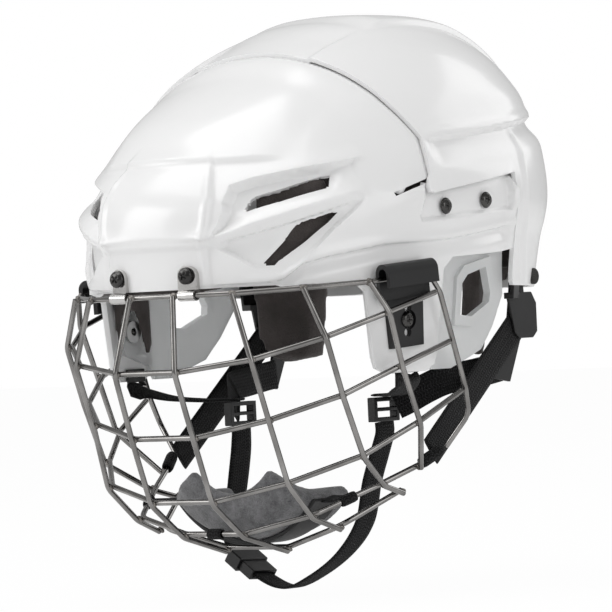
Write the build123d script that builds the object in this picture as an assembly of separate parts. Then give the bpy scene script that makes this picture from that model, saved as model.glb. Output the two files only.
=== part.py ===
from build123d import *
from functools import lru_cache
import math
import os

os.makedirs("parts", exist_ok=True)

# An ice hockey helmet with a wire face cage. The origin is the centre of the head cavity.
# The wearer looks along -Y, the wearer's left is +X and the crown is +Z. Lengths are millimetres.

# Shell
half_width = 107.5
half_length = 138.0
crown_height = 110.5
skirt_drop = 86.0
front_wall = 3.0
rear_wall = 2.5
shell_gap = 0.3
overrun = 90.0
corner_fullness_share = 0.6

# Size adjustment
slide_back = 10.0
overlap_depth = 22.0
overlap_drop = 6.0
overlap_root = 5.0
overlap_neck = 1.5
tongue_gap = 4.0

# Screws, with their T-nuts
screw_radius = 2.0
screw_clearance = 0.25
screw_head_radius = 4.4
screw_head_height = 2.2
head_clearance_radius = 5.4
spot_face_depth = 0.7
nut_radius = 6.0
nut_height = 1.5

# Cage
wire_radius = 1.5
wire_sides = 8
weld_sink = 0.25
cage_half_width = 109.5
cage_reach = 141.5
cage_drop = 168.0
wire_bend = 12.0

# Front brackets
bracket_width = 10.5
bracket_sheet = 1.1
bracket_spread = 23.0
bracket_rise = 10.0
hinge_clearance = 0.2

# Cage clips
clip_sheet = 2.4
clip_length = 34.0
clip_start = 8.0
clip_clearance = 0.5
clip_mouth = 1.6
clip_rise = 2.5
clip_wall_drop = 11.0
clip_lip_drop = 4.5
clip_seat = 0.15

# Ear guards
guard_wall = 2.2
guard_rim_height = 2.2

# Liner
pad_depth = 10.0
pad_gap = 0.4
pad_slope = 12.0
foam_facets = 7
foam_level_step = 3
nut_pocket = 3.5
rear_pad_stand = 18.0
crown_channel = 9.0

# Chin cup
cup_radius = 57.0
cup_axis_drop = 106.0
cup_span = 52.0
cup_front = 80.0
cup_back = 31.0
cup_gap = 0.2
carrier_wall = 2.0
carrier_front = 66.0
carrier_back = 44.0
cup_web_width = 9.0
cup_web_sheet = 1.2

# Webbing
chin_web_width = 16.0
web_sheet = 1.6
web_gap = 0.4
cage_web_side = 85.2
sleeve_length = 14.0

# Chin strap fittings
yoke_sheet = 1.6
yoke_side = 79.5
slider_length = 13.0
slider_rim = 3.0
slider_height = 5.0
buckle_length = 20.0
buckle_height = 8.0
rivet_radius = 2.5
rivet_head_radius = 4.5
rivet_head_height = 1.4

# Rear clips
rear_clip_sheet = 1.8


# Shares of the shell's three sizes. Each level gives its height, its half width and how far
# its centre lies behind the origin.
LEVEL_SHARES = [
    (-1.0, 0.921, -0.029),
    (-0.75, 0.935, -0.023),
    (-0.50, 0.948, -0.018),
    (-0.28, 0.962, -0.008),
    (-0.08, 0.981, 0.004),
    (0.11, 1.0, 0.033),
    (0.32, 0.953, 0.087),
    (0.42, 0.915, 0.118),
    (0.52, 0.866, 0.150),
    (0.61, 0.813, 0.191),
    (0.69, 0.746, 0.222),
    (0.76, 0.678, 0.249),
    (0.83, 0.597, 0.270),
    (0.89, 0.510, 0.290),
    (0.945, 0.415, 0.308),
    (1.0, 0.235, 0.318),
]


def level_sizes(shares, grow):
    height_share, width_share, centre_share = shares
    height = height_share * (crown_height + grow) if height_share > 0 else height_share * skirt_drop
    width = width_share * half_width + grow
    length = width * half_length / half_width
    return height, width, length, centre_share * half_length


def plan_curve(width, length, centre, height):
    """A closed oval of four curves, fuller than an ellipse."""
    bulge_x = width * corner_fullness_share
    bulge_y = length * corner_fullness_share
    corners = []
    for turn_x, turn_y in ((1, -1), (1, 1), (-1, 1), (-1, -1)):
        middle = (0, centre + turn_y * length, height)
        middle_pull = (turn_x * bulge_x, centre + turn_y * length, height)
        side_pull = (turn_x * width, centre + turn_y * bulge_y, height)
        side = (turn_x * width, centre, height)
        points = [middle, middle_pull, side_pull, side]
        if turn_x * turn_y > 0:
            points.reverse()
        corners.append(Bezier(*points).edge())
    return Wire(corners)


@lru_cache(maxsize=None)
def dome(grow):
    """The shell's outside as a closed solid, set out or in by grow."""
    sections = []
    for shares in LEVEL_SHARES:
        height, width, length, centre = level_sizes(shares, grow)
        sections.append(Face(plan_curve(width, length, centre, height)))
    return loft(sections, ruled=True)


@lru_cache(maxsize=None)
def foam_dome(grow):
    """The same dome in flat facets, inside the smooth one, as foam is pressed in a plain mould."""
    rings = []
    for shares in LEVEL_SHARES[::foam_level_step]:
        height, width, length, centre = level_sizes(shares, grow)
        corners = []
        for edge in plan_curve(width, length, centre, height).edges():
            corners += [edge @ (count / foam_facets) for count in range(foam_facets)]
        corners.sort(key=lambda corner: math.atan2(corner.Y - centre, corner.X))
        rings.append(corners)
    facets = [Face(Wire.make_polygon(rings[0], close=True)), Face(Wire.make_polygon(rings[-1], close=True))]
    for low, high in zip(rings, rings[1:]):
        for count in range(len(low)):
            after = (count + 1) % len(low)
            quad = [low[count], low[after], high[after], high[count]]
            facets.append(Face(Wire.make_polygon(quad, close=True)))
    return Solid(Shell(facets))


def oval_rest(share):
    """How far the plan oval reaches along one axis, as a share, at a share along the other."""
    low, high = 0.0, 1.0
    for _ in range(40):
        t = (low + high) / 2
        rest = 1 - t
        reach = 3 * rest * rest * t * corner_fullness_share + 3 * rest * t * t + t**3
        low, high = (t, high) if reach < share else (low, t)
    rest = 1 - low
    return rest**3 + 3 * rest * rest * low + 3 * rest * low * low * corner_fullness_share


def plan_at(z, grow):
    """The dome's half width, half length and centre at a height."""
    rows = [level_sizes(shares, grow) for shares in LEVEL_SHARES]
    for lower, upper in zip(rows, rows[1:]):
        if z <= upper[0]:
            break
    part = (z - lower[0]) / (upper[0] - lower[0])
    return [low + part * (high - low) for low, high in zip(lower[1:], upper[1:])]


def shell_side(y, z, grow=0.0):
    """Half the width of the dome at a place in the side view."""
    width, length, centre = plan_at(z, grow)
    return width * oval_rest(abs(y - centre) / length)


def shell_front(x, z, grow=0.0):
    """The dome's y on its front at a place in the front view."""
    width, length, centre = plan_at(z, grow)
    return centre - length * oval_rest(abs(x) / width)


def side_outline(shares):
    """An outline in the side view, from shares of the half length and the crown height."""
    points = [(y * half_length, z * crown_height) for y, z in shares]
    return Plane.YZ * make_face(Polyline(*points, close=True))


def side_block(shares, inner=None):
    """A block across the shell with a side outline, on both sides, or beyond inner on each side."""
    reach = half_width + overrun
    if inner is None:
        return extrude(side_outline(shares), reach, both=True)
    return Pos(inner, 0, 0) * extrude(side_outline(shares), reach)


def layer(outer, inner, block):
    return (dome(outer) - dome(inner)) & block


def place(shares):
    x, y, z = shares
    return Vector(x * half_width, y * half_length, z * crown_height)


def both_sides(shape):
    return Compound(children=[shape, mirror(shape, about=Plane.YZ)])


def save(shape, name):
    export_step(shape, "parts/" + name + ".step")


def save_pair(shape, name):
    save(shape, name + "_left")
    save(mirror(shape, about=Plane.YZ), name + "_right")


# Where the rear shell's front edge crosses the crown and comes down the side
SEAM_SHARES = [
    (-0.215, 0.24), (-0.192, 0.41), (-0.25, 0.58), (-0.283, 0.733), (-0.312, 0.842), (-0.312, 1.5),
]


def seam_strip(start, end, low_share):
    """Outline shares of a strip that follows the seam, between two distances behind it."""
    front = [(y + start / half_length, z) for y, z in SEAM_SHARES if z >= low_share]
    back = [(y + end / half_length, z) for y, z in reversed(SEAM_SHARES) if z >= low_share]
    return front + back


# Front shell
FRONT_EDGE_SHARES = [
    (-1.6, -0.262), (-0.551, -0.262), (-0.513, -0.308), (-0.482, -0.62), (-0.468, -0.672),
    (-0.43, -0.697), (-0.232, -0.697), (-0.19, -0.67), (-0.174, -0.62), (-0.138, -0.217),
    (-0.087, -0.163), (0.261, -0.145), (0.42, -0.10), (0.42, 0.253), (-0.007, 0.268),
    (-0.21, 0.158), (-0.391, 0.122), (-0.40, 0.15), (-0.225, 0.205),
]
BAND_RIDGE_SHARES = [
    (-0.20, 0.125), (-0.007, 0.232), (0.28, 0.232), (0.28, 0.2), (0.0, 0.2), (-0.17, 0.107),
]
UPPER_VENT_SHARES = [(-0.868, 0.1), (-0.862, 0.15), (-0.84, 0.175), (-0.587, 0.268), (-0.634, 0.186)]
LOWER_VENT_SHARES = [
    (-0.748, 0.02), (-0.612, 0.084), (-0.66, 0.008), (-0.745, -0.096),
    (-0.806, -0.17), (-0.832, -0.152), (-0.77, -0.026),
]
ridge_height = 2.2
screw_places = [(-0.134, 0.079), (0.116, 0.103)]
CLIP_PLATE_SHARES = [(-0.455, -0.2), (-0.275, -0.2), (-0.265, -0.57), (-0.415, -0.585)]
CLIP_HOLE_SHARES = [(-0.345, -0.39), (-0.345, -0.45), (-0.345, -0.51)]


def side_hole(shares, radius, inner=0.0):
    y, z = shares
    start = Plane(origin=(inner, y * half_length, z * crown_height), z_dir=(1, 0, 0))
    return extrude(start * Circle(radius), half_width + overrun)


def slot_hole(y, z, radius, travel, inner):
    plane = Plane(origin=(inner, y, z), x_dir=(0, 1, 0), z_dir=(1, 0, 0))
    return extrude(plane * SlotCenterToCenter(travel, 2 * radius), half_width + overrun)


def front_shell():
    edge = side_block(FRONT_EDGE_SHARES + SEAM_SHARES + [(-1.6, 1.5)])
    shell = layer(0, -front_wall, edge)
    drop = -overlap_drop
    low_share = SEAM_SHARES[0][1]
    under = layer(drop, drop - rear_wall, side_block(seam_strip(-overlap_root, overlap_depth, low_share)))
    neck = seam_strip(-overlap_root, -overlap_neck, low_share)
    belt = layer(-front_wall / 2, drop - rear_wall, side_block(neck))
    shell = shell + belt + under
    ridge = layer(ridge_height, -front_wall / 2, side_block(BAND_RIDGE_SHARES))
    shell = shell + ridge
    for outline in (UPPER_VENT_SHARES, LOWER_VENT_SHARES):
        shell -= side_block(outline)
    for spot in screw_places:
        seat = shell_side(spot[0] * half_length, spot[1] * crown_height) - spot_face_depth
        cut = side_hole(spot, screw_radius + screw_clearance) + side_hole(spot, head_clearance_radius, seat)
        shell -= both_sides(cut)
    shell -= both_sides(side_hole(CLIP_HOLE_SHARES[1], screw_radius + screw_clearance))
    return shell - both_sides(bracket_hole())


REAR_EDGE_SHARES = [
    (1.6, 1.5), (1.6, -0.34), (0.345, -0.31), (0.33, -0.28), (0.335, 0.285), (-0.05, 0.298), (-0.19, 0.217),
]
TONGUE_SHARES = [(-0.2, -0.01), (0.55, -0.04), (0.55, 0.235), (-0.1, 0.225), (-0.2, 0.15)]
JOGGLE_SHARES = [(0.50, -0.04), (0.55, -0.04), (0.55, 0.235), (0.50, 0.235)]


def rear_shell():
    top = rear_wall + shell_gap
    shell = layer(top, shell_gap, side_block(SEAM_SHARES + REAR_EDGE_SHARES))
    sink = -front_wall - tongue_gap
    tongue = layer(sink, sink - rear_wall, side_block(TONGUE_SHARES))
    joggle = layer(shell_gap + rear_wall / 2, sink - rear_wall, side_block(JOGGLE_SHARES))
    shell = shell + tongue + joggle
    shell -= both_sides(side_hole(rivet_place, rivet_radius + screw_clearance))
    for y, z in screw_places:
        middle = y * half_length - slide_back / 2
        cut = slot_hole(middle, z * crown_height, screw_radius + screw_clearance, slide_back, 0)
        cut = cut & Box(2 * (half_width - front_wall), 4 * half_length, 4 * crown_height)
        shell -= both_sides(cut)
    return shell


# Screws that clamp the two shells, and their T-nuts behind the rear shell's tongue
def screw(seat, tip):
    """A pan head screw along +X, from its head's seat inwards to its tip."""
    upwards = (Align.CENTER, Align.CENTER, Align.MIN)
    head = Cone(screw_head_radius, screw_head_radius * 0.8, screw_head_height, align=upwards)
    shank = Cylinder(screw_radius, seat - tip, align=upwards)
    return Pos(seat, 0, 0) * Rot(0, 90, 0) * head + Pos(tip, 0, 0) * Rot(0, 90, 0) * shank


def t_nut(outer):
    """A flanged nut along +X with its bore open for the screw, its flange's outer face at outer."""
    plate = Pos(outer - nut_height, 0, 0) * Rot(0, 90, 0) * Cylinder(
        nut_radius, nut_height, align=(Align.CENTER, Align.CENTER, Align.MIN)
    )
    bore = Rot(0, 90, 0) * Cylinder(screw_radius + screw_clearance / 2, 4 * half_width)
    return plate - bore


def adjust_screws():
    screws, nuts = [], []
    for y_share, z_share in screw_places:
        y = y_share * half_length
        z = z_share * crown_height
        seat = shell_side(y, z) - spot_face_depth
        under = -front_wall - tongue_gap - rear_wall
        reaches = (y - slide_back - nut_radius, y + nut_radius)
        corners = [shell_side(reach, z - nut_radius, under) for reach in reaches]
        behind = min(corners) - shell_gap
        screws.append(Pos(0, y, z) * screw(seat, behind - nut_height))
        nuts.append(Pos(0, y, z) * t_nut(behind))
    return screws, nuts


# Cage. Shares of the cage's half width, its reach in front of the origin and its drop below it.
TOP_BAR_SHARES = [
    (0.27, -0.943, -0.19), (0.44, -0.895, -0.19), (0.69, -0.735, -0.183), (0.894, -0.543, -0.174),
    (0.972, -0.262, -0.155), (0.985, -0.215, -0.215), (0.985, -0.085, -0.515), (0.965, -0.05, -0.6),
    (0.845, -0.075, -0.7),
]
BAR_1_SHARES = [
    (0.18, -1.0, -0.424), (0.53, -0.898, -0.394), (0.785, -0.712, -0.336), (0.94, -0.49, -0.27),
    (0.985, -0.244, -0.215),
]
BAR_2_SHARES = [
    (0.185, -0.915, -0.628), (0.53, -0.812, -0.582), (0.785, -0.63, -0.517), (0.925, -0.415, -0.436),
    (0.985, -0.17, -0.37),
]
BAR_3_SHARES = [
    (0.185, -0.824, -0.83), (0.545, -0.733, -0.779), (0.785, -0.525, -0.707), (0.925, -0.323, -0.614),
    (0.985, -0.108, -0.525),
]
BAR_4_SHARES = [
    (0.18, -0.65, -0.938), (0.53, -0.585, -0.886), (0.705, -0.33, -0.80), (0.785, -0.19, -0.752),
    (0.838, -0.1, -0.708),
]
CHIN_BAR_SHARES = [(0.185, -0.40, -0.993), (0.55, -0.445, -0.927), (0.685, -0.2, -0.828)]


def rod(points, bend=wire_bend):
    """A round wire along straight runs with a bend at each corner."""
    path = FilletPolyline(*points, radius=bend) if len(points) > 2 else Line(*points)
    start = Plane(origin=path @ 0, z_dir=path % 0)
    return sweep(start * RegularPolygon(wire_radius, wire_sides, major_radius=False), path=path)


def cage_point(shares, out=0.0):
    """A point of the cage, moved out square to the bars by out in plan."""
    x, y, z = shares
    point = Vector(x * cage_half_width, y * cage_reach, z * cage_drop)
    away = Vector(point.X, point.Y, point.Z / 2).normalized()
    return point + away * out


def mirrored_path(shares, out=0.0):
    right = [cage_point(row, out) for row in shares if row[0] > 0]
    left = [Vector(-point.X, point.Y, point.Z) for point in reversed(right)]
    return left + right


def save_cage():
    save(rod(mirrored_path(TOP_BAR_SHARES)), "cage_top_bar")
    step_out = 2 * wire_radius - weld_sink
    rows = [BAR_1_SHARES, BAR_2_SHARES, BAR_3_SHARES, BAR_4_SHARES]
    for count, row in enumerate(rows, start=1):
        save(rod(mirrored_path(row)), "cage_bar_" + str(count))
    save(rod(mirrored_path(CHIN_BAR_SHARES)), "cage_chin_bar")
    tops = [(0.13, -0.943, -0.19), (0.43, -0.895, -0.19), (0.69, -0.735, -0.183), (0.885, -0.543, -0.174)]
    uprights = []
    for column, top in enumerate(tops):
        points = [cage_point(top, step_out)]
        points += [cage_point(row[column], step_out) for row in rows]
        if column < len(CHIN_BAR_SHARES):
            points.append(cage_point(CHIN_BAR_SHARES[column], step_out))
        uprights.append(rod(points))
    save(both_sides(Compound(children=uprights)), "cage_uprights")


# Front brackets. Each is one strip folded round the top bar, both ends under one screw.
def hinge_point():
    return cage_point(TOP_BAR_SHARES[0])


def front_brackets():
    axis = hinge_point()
    inner = wire_radius / math.cos(math.pi / wire_sides) + hinge_clearance
    front = Plane(origin=(bracket_spread, 0, axis.Z + bracket_rise), x_dir=(1, 0, 0), z_dir=(0, -1, 0))
    block = extrude(front * Circle(bracket_width / 2), 2 * half_length)
    lower = front * Pos(0, -bracket_rise / 2) * Rectangle(bracket_width, bracket_rise)
    block = block + extrude(lower, 2 * half_length)
    legs = layer(shell_gap / 2 + 2 * bracket_sheet, shell_gap / 2, block)
    turned = Pos(bracket_spread, axis.Y, axis.Z) * Rot(0, 90, 0)
    tube = turned * Cylinder(inner + bracket_sheet, bracket_width)
    bore = turned * Cylinder(inner, 2 * bracket_width)
    return legs + tube - bore - bracket_hole()


def bracket_hole():
    top = hinge_point().Z + bracket_rise
    return Pos(bracket_spread, -half_length, top) * Rot(90, 0, 0) * Cylinder(
        screw_radius + screw_clearance, half_length
    )


def front_screws():
    z = hinge_point().Z + bracket_rise
    seat = -shell_front(bracket_spread - bracket_width / 2, z, shell_gap / 2 + 2 * bracket_sheet)
    behind = -shell_front(bracket_spread + nut_radius, z, -front_wall) - shell_gap
    turned = Pos(bracket_spread, 0, z) * Rot(0, 0, -90)
    return turned * screw(seat, behind - nut_height), turned * t_nut(behind)


# Cage clips. A hook over the top bar, open below, with a plate screwed to the shell's side lobe.
def clip_frame():
    start = cage_point(TOP_BAR_SHARES[3])
    end = cage_point(TOP_BAR_SHARES[4])
    along = (end - start).normalized()
    origin = start + along * (clip_start + clip_length)
    out = along.cross(Vector(0, 0, 1)).normalized()
    return Plane(origin=origin, x_dir=out, z_dir=-along)


def cage_clip():
    bar = wire_radius / math.cos(math.pi / wire_sides)
    inner = bar + clip_clearance
    outer = inner + clip_mouth
    arch_radius = (outer + inner) / 2
    arch_centre = (outer - inner) / 2
    with BuildSketch() as hook:
        with Locations((arch_centre, clip_rise)):
            Circle(arch_radius + clip_sheet)
            Circle(arch_radius, mode=Mode.SUBTRACT)
        with Locations((arch_centre, clip_rise)):
            Rectangle(
                4 * arch_radius, 4 * arch_radius, align=(Align.CENTER, Align.MAX), mode=Mode.SUBTRACT
            )
        with Locations((-inner, clip_rise)):
            Rectangle(clip_sheet, clip_rise + clip_wall_drop, align=(Align.MAX, Align.MAX))
        with Locations((outer, clip_rise)):
            Rectangle(clip_sheet, clip_rise + clip_lip_drop, align=(Align.MIN, Align.MAX))
    hook_body = extrude(clip_frame() * hook.sketch, clip_length)
    plate = layer(clip_seat + clip_sheet, clip_seat, side_block(CLIP_PLATE_SHARES, 0))
    clip = plate + hook_body
    for spot in CLIP_HOLE_SHARES:
        clip -= side_hole(spot, screw_radius + screw_clearance)
    spot = CLIP_HOLE_SHARES[1]
    clip -= side_hole(spot, head_clearance_radius, clip_screw_seat())
    return clip - dome(clip_seat)


def clip_screw_seat():
    y, z = CLIP_HOLE_SHARES[1]
    return shell_side(y * half_length, z * crown_height, clip_seat + clip_sheet) - spot_face_depth


def clip_screws():
    y = CLIP_HOLE_SHARES[1][0] * half_length
    z = CLIP_HOLE_SHARES[1][1] * crown_height
    tab = -front_wall - shell_gap - guard_wall
    behind = shell_side(y - nut_radius, z - nut_radius, tab) - shell_gap / 2
    return Pos(0, y, z) * screw(clip_screw_seat(), behind - nut_height), Pos(0, y, z) * t_nut(behind)


# Ear guards
GUARD_SHARES = [
    (-0.2, -0.09), (0.30, -0.075), (0.335, -0.35), (0.24, -0.505), (0.15, -0.61), (-0.06, -0.692),
    (-0.175, -0.692), (-0.21, -0.62), (-0.40, -0.56), (-0.41, -0.42), (-0.215, -0.3),
]
GUARD_OPENING_SHARES = [
    (-0.022, -0.44), (-0.012, -0.29), (0.022, -0.25), (0.15, -0.215), (0.19, -0.34), (0.182, -0.385),
    (0.05, -0.45),
]
GUARD_RIM_SHARES = [
    (-0.06, -0.49), (-0.045, -0.26), (0.0, -0.205), (0.18, -0.165), (0.235, -0.34), (0.215, -0.42),
    (0.06, -0.5),
]


def ear_guard():
    face = -front_wall - shell_gap
    guard = layer(face, face - guard_wall, side_block(GUARD_SHARES, 0))
    rim = layer(face + guard_rim_height, face - guard_wall, side_block(GUARD_RIM_SHARES, 0))
    hole = side_hole(CLIP_HOLE_SHARES[1], screw_radius + screw_clearance)
    return guard + rim - side_block(GUARD_OPENING_SHARES, 0) - hole


# Liner. Each pad is a cushion with cut corners whose sides slope in towards the head.
FOREHEAD_SHARES = [
    (0.30, -0.25), (0.34, -0.21), (0.37, 0.10), (0.33, 0.25), (0.28, 0.28), (-0.28, 0.28),
    (-0.33, 0.25), (-0.37, 0.10), (-0.34, -0.21), (-0.30, -0.25),
]
FRONT_SIDE_SHARES = [
    (-0.82, -0.20), (-0.78, -0.23), (-0.60, -0.23), (-0.56, -0.19), (-0.56, 0.10), (-0.66, 0.32),
    (-0.72, 0.34), (-0.84, 0.24),
]
TEMPLE_SHARES = [
    (-0.44, -0.53), (-0.40, -0.57), (-0.28, -0.57), (-0.255, -0.53), (-0.255, -0.09), (-0.28, -0.05),
    (-0.40, -0.05), (-0.44, -0.09),
]
TAB_POCKET_SHARES = [(-0.43, -0.61), (-0.15, -0.68), (-0.15, -0.22), (-0.43, -0.37)]
FRONT_CROWN_SHARES = [
    (0.42, -0.52), (0.38, -0.49), (-0.38, -0.49), (-0.42, -0.52), (-0.38, -0.66), (-0.33, -0.70),
    (0.33, -0.70), (0.38, -0.66),
]
REAR_CROWN_SHARES = [
    (0.38, -0.03), (0.44, 0.02), (0.50, 0.35), (0.38, 0.70), (0.32, 0.74), (-0.32, 0.74), (-0.38, 0.70),
    (-0.50, 0.35), (-0.44, 0.02), (-0.38, -0.03),
]
REAR_SIDE_SHARES = [
    (0.50, -0.22), (0.56, -0.22), (0.72, -0.10), (0.74, 0.30), (0.64, 0.42), (0.60, 0.36), (0.60, -0.10),
    (0.50, -0.14),
]
OCCIPUT_SHARES = [
    (0.36, -0.50), (0.38, -0.58), (0.43, -0.62), (0.56, -0.62), (0.61, -0.58), (0.66, -0.36), (0.66, -0.14),
    (0.36, -0.14),
]
NAPE_SHARES = [
    (0.40, -0.27), (0.44, -0.20), (0.38, 0.18), (0.33, 0.22), (-0.33, 0.22), (-0.38, 0.18), (-0.44, -0.20),
    (-0.40, -0.27),
]


def pad_prism(plane, shares, width, height, start, reach):
    """A prism of an outline that widens outwards from a plane moved out by start."""
    outline = make_face(Polyline(*[(x * width, y * height) for x, y in shares], close=True))
    return extrude(plane.offset(start) * outline, reach, taper=-pad_slope)


def foam_layer(outer, inner, block):
    return (foam_dome(outer) - foam_dome(inner)) & block


def front_level():
    return -front_wall - pad_gap


def rear_level():
    return shell_gap - pad_gap


def side_pad(shares, start_share, outer, inner):
    start = half_width * start_share
    prism = pad_prism(Plane.YZ, shares, half_length, crown_height, start, half_width - start)
    return foam_layer(outer, inner, prism)


def forehead_pad():
    start = half_length * 0.80
    prism = pad_prism(Plane.XZ, FOREHEAD_SHARES, half_width, crown_height, start, half_length - start)
    pad = foam_layer(front_level(), front_level() - pad_depth, prism)
    turned = Pos(bracket_spread, 0, hinge_point().Z + bracket_rise) * Rot(90, 0, 0)
    floor = -shell_front(bracket_spread + nut_radius, hinge_point().Z, -front_wall) - nut_height - nut_pocket
    pocket = turned * Pos(0, 0, floor) * Cylinder(
        nut_radius + pad_gap, half_length, align=(Align.CENTER, Align.CENTER, Align.MIN)
    )
    return pad - both_sides(pocket)


def temple_pad():
    pad = side_pad(TEMPLE_SHARES, 0.78, front_level(), front_level() - pad_depth)
    floor = front_level() - guard_wall - nut_height - nut_pocket
    return pad - foam_layer(0, floor, side_block(TAB_POCKET_SHARES, 0))


def crown_pad(shares, outer):
    start = crown_height * 0.45
    prism = pad_prism(Plane.XY, shares, half_width, half_length, start, crown_height - start)
    return foam_layer(outer, outer - pad_depth, prism)


def rear_crown_pad():
    channel = Pos(0, half_length / 2, crown_height) * Box(crown_channel, half_length / 2, 2 * pad_depth)
    return crown_pad(REAR_CROWN_SHARES, rear_level()) - channel


def rear_side_pad():
    inner = -rear_pad_stand - pad_depth
    hanging = side_pad(OCCIPUT_SHARES, 0.5, -rear_pad_stand, inner)
    return hanging + foam_layer(rear_level(), inner, side_block(REAR_SIDE_SHARES, 0))


def nape_pad():
    back = Plane(origin=(0, 0, 0), x_dir=(-1, 0, 0), z_dir=(0, 1, 0))
    start = half_length * 0.80
    prism = pad_prism(back, NAPE_SHARES, half_width, crown_height, start, half_length - start)
    return foam_layer(rear_level(), rear_level() - pad_depth, prism)


# Chin cup, on the cage. A felt cushion on a plastic carrier, with webbing tabs round the wires.
CUP_OUTSIDE_SHARES = [(0.0, 0.60), (0.03, 0.78), (0.14, 0.93), (0.38, 1.0), (0.97, 0.98), (1.0, 0.94)]
CUP_INSIDE_SHARES = [(0.99, 0.85), (0.42, 0.86), (0.26, 0.80), (0.18, 0.64), (0.12, 0.56), (0.04, 0.56)]


def swing_section(points, span):
    """Turns a section, given as y and distance from the cup's axis, through the span to each side."""
    plane = Plane(origin=(0, 0, -cup_axis_drop), x_dir=(0, 1, 0), z_dir=(-1, 0, 0))
    face = plane * make_face(Polyline(*points, close=True))
    axis = Axis((0, 0, -cup_axis_drop), (0, 1, 0))
    return revolve(face.rotate(axis, -span), axis, 2 * span)


def chin_pad():
    depth = cup_front - cup_back
    points = [(-cup_front + y * depth, r * cup_radius) for y, r in CUP_OUTSIDE_SHARES + CUP_INSIDE_SHARES]
    return swing_section(points, cup_span)


def carrier():
    top = cup_radius + cup_gap
    low = top + carrier_wall
    return swing_section(
        [(-carrier_front, top), (-carrier_back, top), (-carrier_back, low), (-carrier_front, low)], cup_span
    )


def ribbon(points, across, width, sheet):
    """A flat band through points, its width along the across direction, twisted in flat facets."""
    spots = [Vector(*point) for point in points]
    rings = []
    for count, spot in enumerate(spots):
        before = spots[max(count - 1, 0)]
        after = spots[min(count + 1, len(spots) - 1)]
        along = (after - before).normalized()
        way = Vector(*across)
        way = (way - along * way.dot(along)).normalized() * (width / 2)
        thick = along.cross(way).normalized() * (sheet / 2)
        rings.append([spot + way + thick, spot - way + thick, spot - way - thick, spot + way - thick])
    facets = [rings[0], rings[-1]]
    for near, far in zip(rings, rings[1:]):
        for count in range(4):
            after = (count + 1) % 4
            facets.append([near[count], near[after], far[count]])
            facets.append([near[after], far[after], far[count]])
    return Solid(Shell([Face(Wire.make_polygon(facet, close=True)) for facet in facets]))


def sleeve(start, end, share, length, sheet):
    """Webbing wrapped round a wire that runs from start to end."""
    along = (end - start).normalized()
    bore = wire_radius / math.cos(math.pi / wire_sides) + hinge_clearance
    plane = Plane(origin=start + (end - start) * share, z_dir=along)
    ring = RegularPolygon(bore + sheet, wire_sides, major_radius=False) - RegularPolygon(
        bore, wire_sides, major_radius=False
    )
    return extrude(plane * ring, length / 2, both=True)


def cup_side_tab():
    start = cage_point(BAR_4_SHARES[1])
    end = cage_point(BAR_4_SHARES[2])
    turn = math.radians(cup_span)
    radius = cup_radius + cup_gap + carrier_wall / 2
    root = Vector(
        radius * math.sin(turn), -(carrier_front + carrier_back) / 2, -cup_axis_drop - radius * math.cos(turn)
    )
    middle = start + (end - start) * 0.5
    way = (root - middle).normalized()
    wrap_radius = wire_radius + hinge_clearance + cup_web_sheet
    root = root + (middle - root).normalized() * cup_gap
    across = (end - start).normalized()
    band = ribbon([root, middle + way * wrap_radius], across, cup_web_width, cup_web_sheet)
    return band + sleeve(start, end, 0.5, cup_web_width, cup_web_sheet) - carrier()


def cup_front_tab():
    start = cage_point(BAR_4_SHARES[0])
    end = Vector(-start.X, start.Y, start.Z)
    root = Vector(0, -carrier_front - cup_gap, -cup_axis_drop - cup_radius - cup_gap - carrier_wall / 2)
    middle = (start + end) / 2
    way = (root - middle).normalized()
    wrap_radius = wire_radius + hinge_clearance + cup_web_sheet
    band = ribbon([root, middle + way * wrap_radius], (1, 0, 0), cup_web_width, cup_web_sheet)
    return band + sleeve(start, end, 0.5, cup_web_width, cup_web_sheet)


# Cage straps. Webbing from the cage's rear corners up to clips on the rear shell.
CAGE_STRAP_SHARES = [(-0.076, -1.15), (-0.138, -1.12), (-0.142, -1.02), (0.496, -0.388), (0.576, -0.517)]
REAR_CLIP_SHARES = [
    (0.41, -0.345), (0.57, -0.345), (0.60, -0.40), (0.60, -0.54), (0.57, -0.57), (0.48, -0.57), (0.45, -0.54),
]
REAR_CLIP_TONGUE_SHARES = [(0.40, -0.375), (0.475, -0.375), (0.475, -0.25), (0.40, -0.25)]
REAR_CLIP_SHELF_SHARES = [(0.40, -0.375), (0.53, -0.375), (0.53, -0.345), (0.40, -0.345)]


def cage_strap():
    flat = Pos(cage_web_side, 0, 0) * extrude(side_outline(CAGE_STRAP_SHARES), web_sheet)
    start = cage_point(BAR_4_SHARES[3])
    end = cage_point(BAR_4_SHARES[4])
    return flat + sleeve(start, end, 0.55, sleeve_length, web_sheet)


def rear_clip():
    side = cage_web_side + web_sheet + web_gap
    plate = Pos(side, 0, 0) * extrude(side_outline(REAR_CLIP_SHARES), rear_clip_sheet)
    inner = shell_gap / 2 - rear_clip_sheet
    tongue = layer(shell_gap / 2, inner, side_block(REAR_CLIP_TONGUE_SHARES, 0))
    shelf = dome(shell_gap / 2) & side_block(REAR_CLIP_SHELF_SHARES, side)
    return plate + tongue + shelf


# Chin strap. The front legs hang from the side lobes, the rear legs from the rear shell.
YOKE_SHARES = [
    (0.375, -0.66), (0.375, -0.76), (0.48, -0.78), (0.56, -0.58), (0.60, -0.36), (0.59, -0.23),
    (0.52, -0.23), (0.51, -0.33), (0.48, -0.52), (0.45, -0.65),
]
LOBE_TAB_SHARES = [(-0.38, -0.635), (-0.24, -0.635), (-0.24, -0.70), (-0.38, -0.70)]
rivet_place = (0.555, -0.27)

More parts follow.
